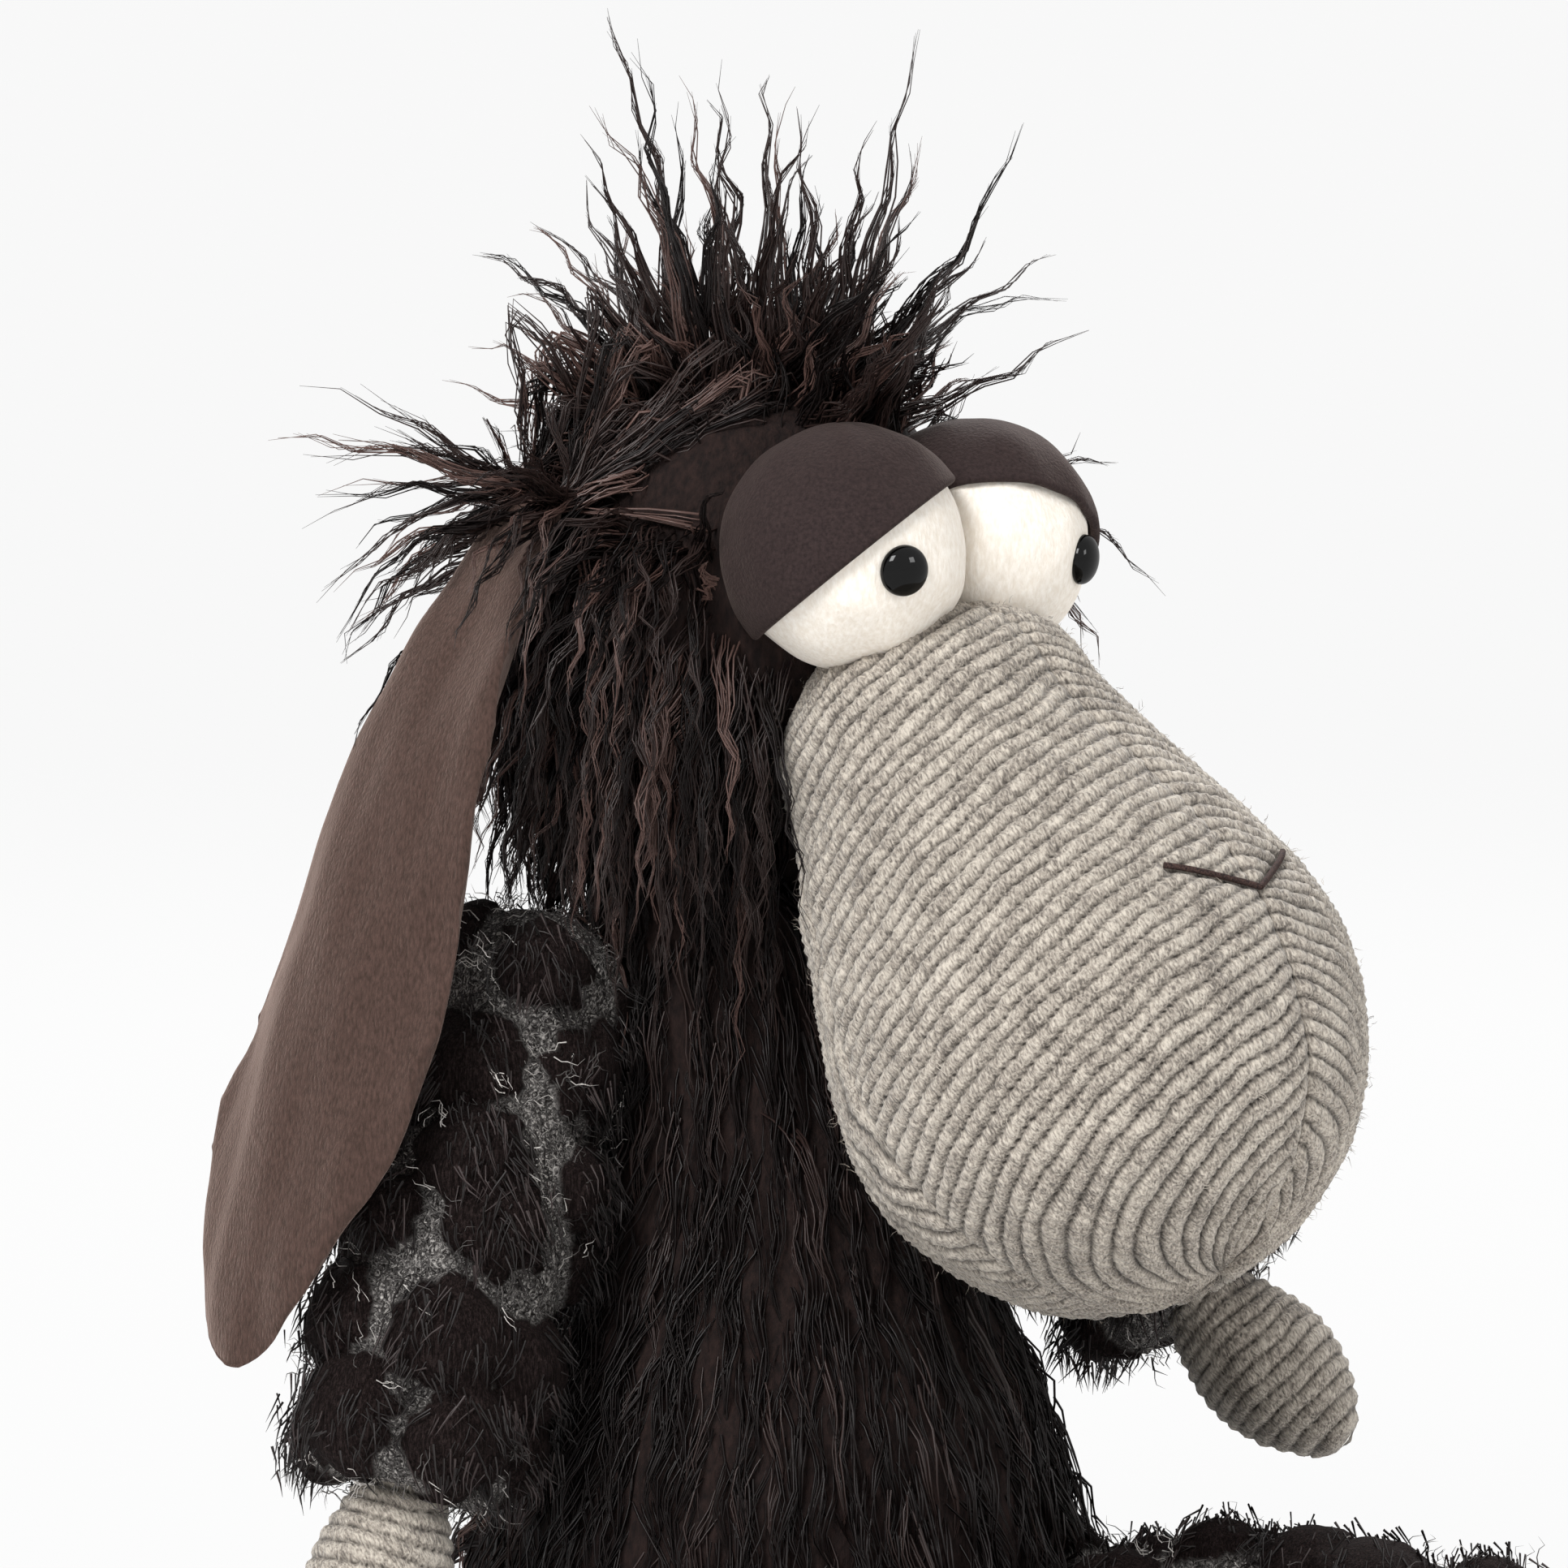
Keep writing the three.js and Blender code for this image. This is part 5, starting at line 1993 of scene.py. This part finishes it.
@dataclass
class TuftedSleeves:
    """The limbs' cloth: short grey curls with rows of domed black tufts."""

    finishes: Finishes
    locks: LockTree
    row_mm: float = 24.0
    end_mm: float = 14.0
    around_mm: float = 30.0
    least_around: int = 4
    tuft_mm: float = 13.3
    tuft_shares: tuple[float, float] = (0.78, 1.15)
    mound_mm: float = 8.5
    floor_mm: float = 2.0
    locks_in_tuft: int = 20
    curls_in_cm2: float = 1.85
    tuft_coat: Coat = Coat((7, 11), 0.36, 0.4, 4.8, 0.32, 8, 3, 0.3, 12.0, 1.2, 0.35, 4)
    curl_coat: Coat = Coat((5, 9), 0.35, 0.0, 3.8, 0.16, 4, 5, 1.0, 4.5, 3.5, 0.1, 4)

    def build(self, sleeves: dict[str, bpy.types.Object]) -> None:
        """Sews the tufts and curls onto every sleeve."""
        for number, (body, sleeve) in enumerate(sleeves.items()):
            centres = self.places(sleeve, number)
            sizes = np.random.default_rng(350 + number).uniform(*self.tuft_shares, len(centres))
            self.raise_mounds(sleeve, centres, sizes)
            self.sew(body, sleeve, centres, sizes, number)

    def places(self, sleeve: bpy.types.Object, number: int) -> Array:
        """Where the tufts sit: staggered rows along the limb.

        Args:
            sleeve: The limb's skin.
            number: Shifts the pattern from limb to limb.

        Returns:
            The middles of the tufts on the skin.
        """
        rng = np.random.default_rng(300 + number)
        points = coords(sleeve.data)
        middle = points.mean(axis=0)
        _, _, ways = np.linalg.svd(points - middle, full_matrices=False)
        along = (points - middle) @ ways[0]
        skin = Obstacle.of(sleeve, 0.0).tree
        reach = along.max() - along.min() - 2 * self.end_mm
        rows = np.linspace(
            along.min() + self.end_mm, along.max() - self.end_mm, round(reach / self.row_mm) + 1
        )
        found = []
        for row, place in enumerate(rows):
            near = points[np.abs(along - place) < 6]
            hub = near.mean(axis=0)
            girth = 2 * math.pi * np.linalg.norm(near - hub, axis=1).mean()
            count = max(self.least_around, round(girth / self.around_mm))
            for k in range(count):
                turn = (k + 0.5 * (row % 2) + rng.uniform(-0.2, 0.2)) / count * 2 * math.pi
                aim = ways[1] * math.cos(turn) + ways[2] * math.sin(turn)
                start = hub + ways[0] * rng.uniform(-5, 5)
                hit = skin.ray_cast(Vector(start), Vector(aim))[0]
                if hit is not None:
                    found.append(np.array(hit))
        return np.array(found)

    def raise_mounds(self, sleeve: bpy.types.Object, centres: Array, sizes: Array) -> None:
        """Lifts the skin into a dome under each tuft and marks it for the dark cloth.

        Args:
            sleeve: The limb's skin.
            centres: The tufts' middles.
            sizes: How large each tuft is beside the usual one.
        """
        points = coords(sleeve.data)
        uneven = 1 + 0.16 * wander(points, 11, 60)
        far = np.linalg.norm(points[:, None] - centres[None], axis=2) / sizes
        gap = far.min(axis=1) * uneven
        dome = np.clip(1 - (gap / (self.tuft_mm * 1.05)) ** 2, 0, 1)
        high = self.mound_mm * dome**0.7
        raised = points + normals(sleeve.data) * high[:, None]
        raised[:, 2] = np.maximum(raised[:, 2], np.minimum(points[:, 2], self.floor_mm))
        set_coords(sleeve.data, raised)
        put_points(sleeve.data, "tuft_share", np.clip(dome * 3.5, 0, 1))

    def sew(
        self, body: str, sleeve: bpy.types.Object, centres: Array, sizes: Array, number: int
    ) -> None:
        """Grows a sleeve's tufts and curls.

        Args:
            body: The limb's body.
            sleeve: Its skin.
            centres: The tufts' middles.
            sizes: How large each tuft is beside the usual one.
            number: Picks the seeds.
        """
        rng = np.random.default_rng(400 + number)
        points, facing = coords(sleeve.data), normals(sleeve.data)
        gap = np.linalg.norm(points[:, None] - centres[None], axis=2) / sizes
        nearest, reach = gap.argmin(axis=1), gap.min(axis=1)
        tufted, bare = [], []
        for k in range(len(centres)):
            own = np.flatnonzero((nearest == k) & (reach < self.tuft_mm) & (points[:, 2] > 5))
            if len(own):
                tufted += list(rng.choice(own, min(self.locks_in_tuft, len(own)), replace=False))
        free = np.flatnonzero((reach > self.tuft_mm * 0.9) & (points[:, 2] > 6))
        area = sum(f.area for f in sleeve.data.polygons) * 1e4
        bare = rng.choice(free, min(len(free), int(area * self.curls_in_cm2)), replace=False)
        tufts = self.lines(points[tufted], facing[tufted], centres[nearest[tufted]], self.tuft_coat, rng)
        curls = self.lines(points[bare], facing[bare], points[bare], self.curl_coat, rng)
        for kind, guides, coat, fibres in (
            ("tufts", tufts, self.tuft_coat, self.finishes.tufts),
            ("curls", curls, self.curl_coat, self.finishes.curls),
        ):
            piece = self.locks.grown(f"{body}_{kind}", guides, coat, fibres, 500 + number)
            dress(piece, body, "sleeve_fur")

    def lines(
        self, roots: Array, out: Array, centres: Array, coat: Coat, rng: np.random.Generator
    ) -> Array:
        """Guides that lean from their tuft's middle and down, or any way for loose curls."""
        count = len(roots)
        aside = unit(rng.normal(size=(count, 3)))
        spread = (roots - centres) / self.tuft_mm * 0.45 + DOWN * 0.9
        lean = np.where((roots == centres).all(axis=1)[:, None], aside, spread + aside * 0.2)
        heading = unit(out * coat.lift + lean * (1 - coat.lift) * 1.4)
        length = rng.uniform(*coat.length_mm, size=(count, 1))
        place = roots - out * 0.8
        line = [place]
        for _ in range(coat.steps):
            bend = rng.normal(scale=0.22, size=(count, 3))
            heading = unit(heading + DOWN * coat.droop * 0.5 + bend)
            place = place + heading * length / coat.steps
            place[:, 2] = np.maximum(place[:, 2], self.floor_mm)
            line.append(place)
        return np.stack(line, axis=1)


@dataclass
class Studio:
    """Pale floor and backdrop, soft lamps and the camera at the photograph's angle."""

    azimuth_deg: float = -48.0
    elevation_deg: float = 5.0
    distance_mm: float = 1600.0
    lens_mm: float = 153.7
    look_at_mm: tuple[float, float, float] = (-16.5, -25.5, 239.4)
    floor_mm: float = 3500.0
    bend_mm: float = 1800.0
    paper_share: float = 0.965

    def build(self) -> None:
        """Makes the stage, the lamps and the camera."""
        self.camera()
        self.backdrop()
        self.world()
        self.lamp("key softbox", (-1.45, -0.35, 1.6), 0.8, 37.0)
        self.lamp("window softbox", (0.35, -1.9, 1.0), 0.55, 8.0)
        self.lamp("rim softbox", (1.3, 1.0, 1.6), 0.8, 40.0)

    def camera(self) -> None:
        """Places the camera."""
        a, e = math.radians(self.azimuth_deg), math.radians(self.elevation_deg)
        back = Vector((math.sin(a) * math.cos(e), -math.cos(a) * math.cos(e), math.sin(e)))
        data = bpy.data.cameras.new("camera")
        data.lens = self.lens_mm
        data.sensor_width = 36
        camera = bpy.data.objects.new("camera", data)
        camera.location = (Vector(self.look_at_mm) + back * self.distance_mm) * MM
        camera.rotation_mode = "QUATERNION"
        camera.rotation_quaternion = (-back).to_track_quat("-Z", "Y")
        bpy.context.scene.collection.objects.link(camera)
        bpy.context.scene.camera = camera

    def backdrop(self) -> None:
        """Pale paper that lies under the sheep and curves up far away on every side."""
        bend = np.linspace(0, math.pi / 2, 24)
        reach = np.concatenate([[500.0, 2000.0], self.floor_mm + self.bend_mm * np.sin(bend)])
        rise = np.concatenate([[0.0, 0.0], self.bend_mm * (1 - np.cos(bend))])
        turn = np.arange(96) / 96 * 2 * math.pi
        ring = np.stack([np.cos(turn), np.sin(turn), np.zeros(96)], axis=1)
        rings = reach[:, None, None] * ring + rise[:, None, None] * UP
        ends = np.array([[0, 0, 0], [0, 0, -1.0]])
        faces = [f for f in stacked_rings(rings) if len(rings) * 96 + 1 not in f]
        floor = mesh_from("studio_bowl", np.concatenate([rings.reshape(-1, 3), ends]), faces)
        material, tree, shader = new_material("white backdrop paper")
        shader.inputs["Base Color"].default_value = linear(Tone.STUDIO.value)
        shader.inputs["Roughness"].default_value = 0.9
        shown = add_node(
            tree,
            "ShaderNodeMath",
            {"operation": "MULTIPLY", 1: self.paper_share},
            {0: self.background_rays(tree)},
        )
        paper = add_node(tree, "ShaderNodeEmission", {"Color": linear(Tone.STUDIO.value), 1: 1.0})
        mixed = add_node(
            tree,
            "ShaderNodeMixShader",
            {},
            {0: shown.outputs[0], 1: shader.outputs["BSDF"], 2: paper.outputs[0]},
        )
        output = next(n for n in tree.nodes if n.type == "OUTPUT_MATERIAL")
        tree.links.new(mixed.outputs[0], output.inputs["Surface"])
        floor.data.materials.append(material)

    def background_rays(self, tree: bpy.types.NodeTree) -> bpy.types.NodeSocket:
        """Tells the rays that show the background, seen, mirrored or through glass, from light.

        Args:
            tree: The tree of the backdrop or of the world.

        Returns:
            1 for those rays and 0 for the rest.
        """
        rays = add_node(tree, "ShaderNodeLightPath").outputs
        mirrored = add_node(
            tree,
            "ShaderNodeMath",
            {"operation": "MAXIMUM"},
            {0: rays["Is Glossy Ray"], 1: rays["Is Transmission Ray"]},
        )
        shown = add_node(
            tree,
            "ShaderNodeMath",
            {"operation": "MAXIMUM"},
            {0: rays["Is Camera Ray"], 1: mirrored.outputs[0]},
        )
        return shown.outputs[0]

    def world(self) -> None:
        """Even light all round, which the camera sees as white paper."""
        world = bpy.data.worlds.new("studio")
        world.use_nodes = True
        bpy.context.scene.world = world
        tree = world.node_tree
        tree.nodes.clear()
        paper = add_node(
            tree, "ShaderNodeBackground", {"Color": linear(Tone.STUDIO.value), "Strength": 1.0}
        )
        fill = add_node(
            tree, "ShaderNodeBackground", {"Color": linear(Tone.STUDIO.value), "Strength": 0.42}
        )
        mixed = add_node(
            tree,
            "ShaderNodeMixShader",
            {},
            {0: self.background_rays(tree), 1: fill.outputs[0], 2: paper.outputs[0]},
        )
        add_node(tree, "ShaderNodeOutputWorld", {}, {"Surface": mixed.outputs[0]})

    def lamp(
        self, name: str, place: tuple[float, float, float], size: float, power: float
    ) -> None:
        """One square softbox, aimed at the head.

        Args:
            name: The lamp's name.
            place: Where it stands, in metres.
            size: Its side, in metres.
            power: Its power, in watts.
        """
        data = bpy.data.lights.new(name, "AREA")
        data.shape = "SQUARE"
        data.size = size
        data.energy = power
        lamp = bpy.data.objects.new(name, data)
        lamp.location = place
        aim = Vector(self.look_at_mm) * MM - Vector(place)
        lamp.rotation_mode = "QUATERNION"
        lamp.rotation_quaternion = aim.to_track_quat("-Z", "Y")
        bpy.context.scene.collection.objects.link(lamp)


def dress_solids(finishes: Finishes) -> None:
    """Gives every solid that stays in sight its material."""
    wanted = {
        "stuffing": finishes.wadding,
        "pellet": finishes.pellets,
        "washer": finishes.nylon,
        "pupil": finishes.gloss,
        "mouth_thread": finishes.thread,
        "seat": finishes.backing,
        "neck": finishes.backing,
        "tail": finishes.backing,
        "crown": finishes.backing,
    }
    for name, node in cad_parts.items():
        for word, material in wanted.items():
            if word in name:
                node.data.materials.clear()
                node.data.materials.append(material)


def main() -> None:
    """Builds the sheep and its studio."""
    logging.basicConfig(level=logging.INFO, format="%(name)s: %(message)s")
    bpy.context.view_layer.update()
    bpy.context.scene.view_settings.view_transform = "Standard"
    finishes = Finishes()
    dress_solids(finishes)
    skins = Body(finishes).build()
    snout = Snout(finishes)
    panels = snout.build()
    eyes = Eyes(finishes).build()
    ears = Ears(finishes).build()
    sleeves = Limbs(finishes).build()
    locks = LockTree()
    WoolFuzz(finishes, locks).build(panels, "head", 600)
    TuftedSleeves(finishes, locks).build(sleeves)
    around = [*skins.values(), *eyes, *ears, *sleeves.values()]
    obstacles = {piece.name: Obstacle.of(piece, 1.2) for piece in around}
    groom = Groom(locks, {**obstacles, "snout": snout.closed})
    ShaggyCoat(finishes, groom).build(skins)
    Studio().build()
    faces = [o.data for o in bpy.context.scene.objects if o.type == "MESH" and "studio" not in o.name]
    LOG.info("%d triangles in all", sum(sum(len(f.vertices) - 2 for f in m.polygons) for m in faces))


if __name__ == "__main__":
    main()
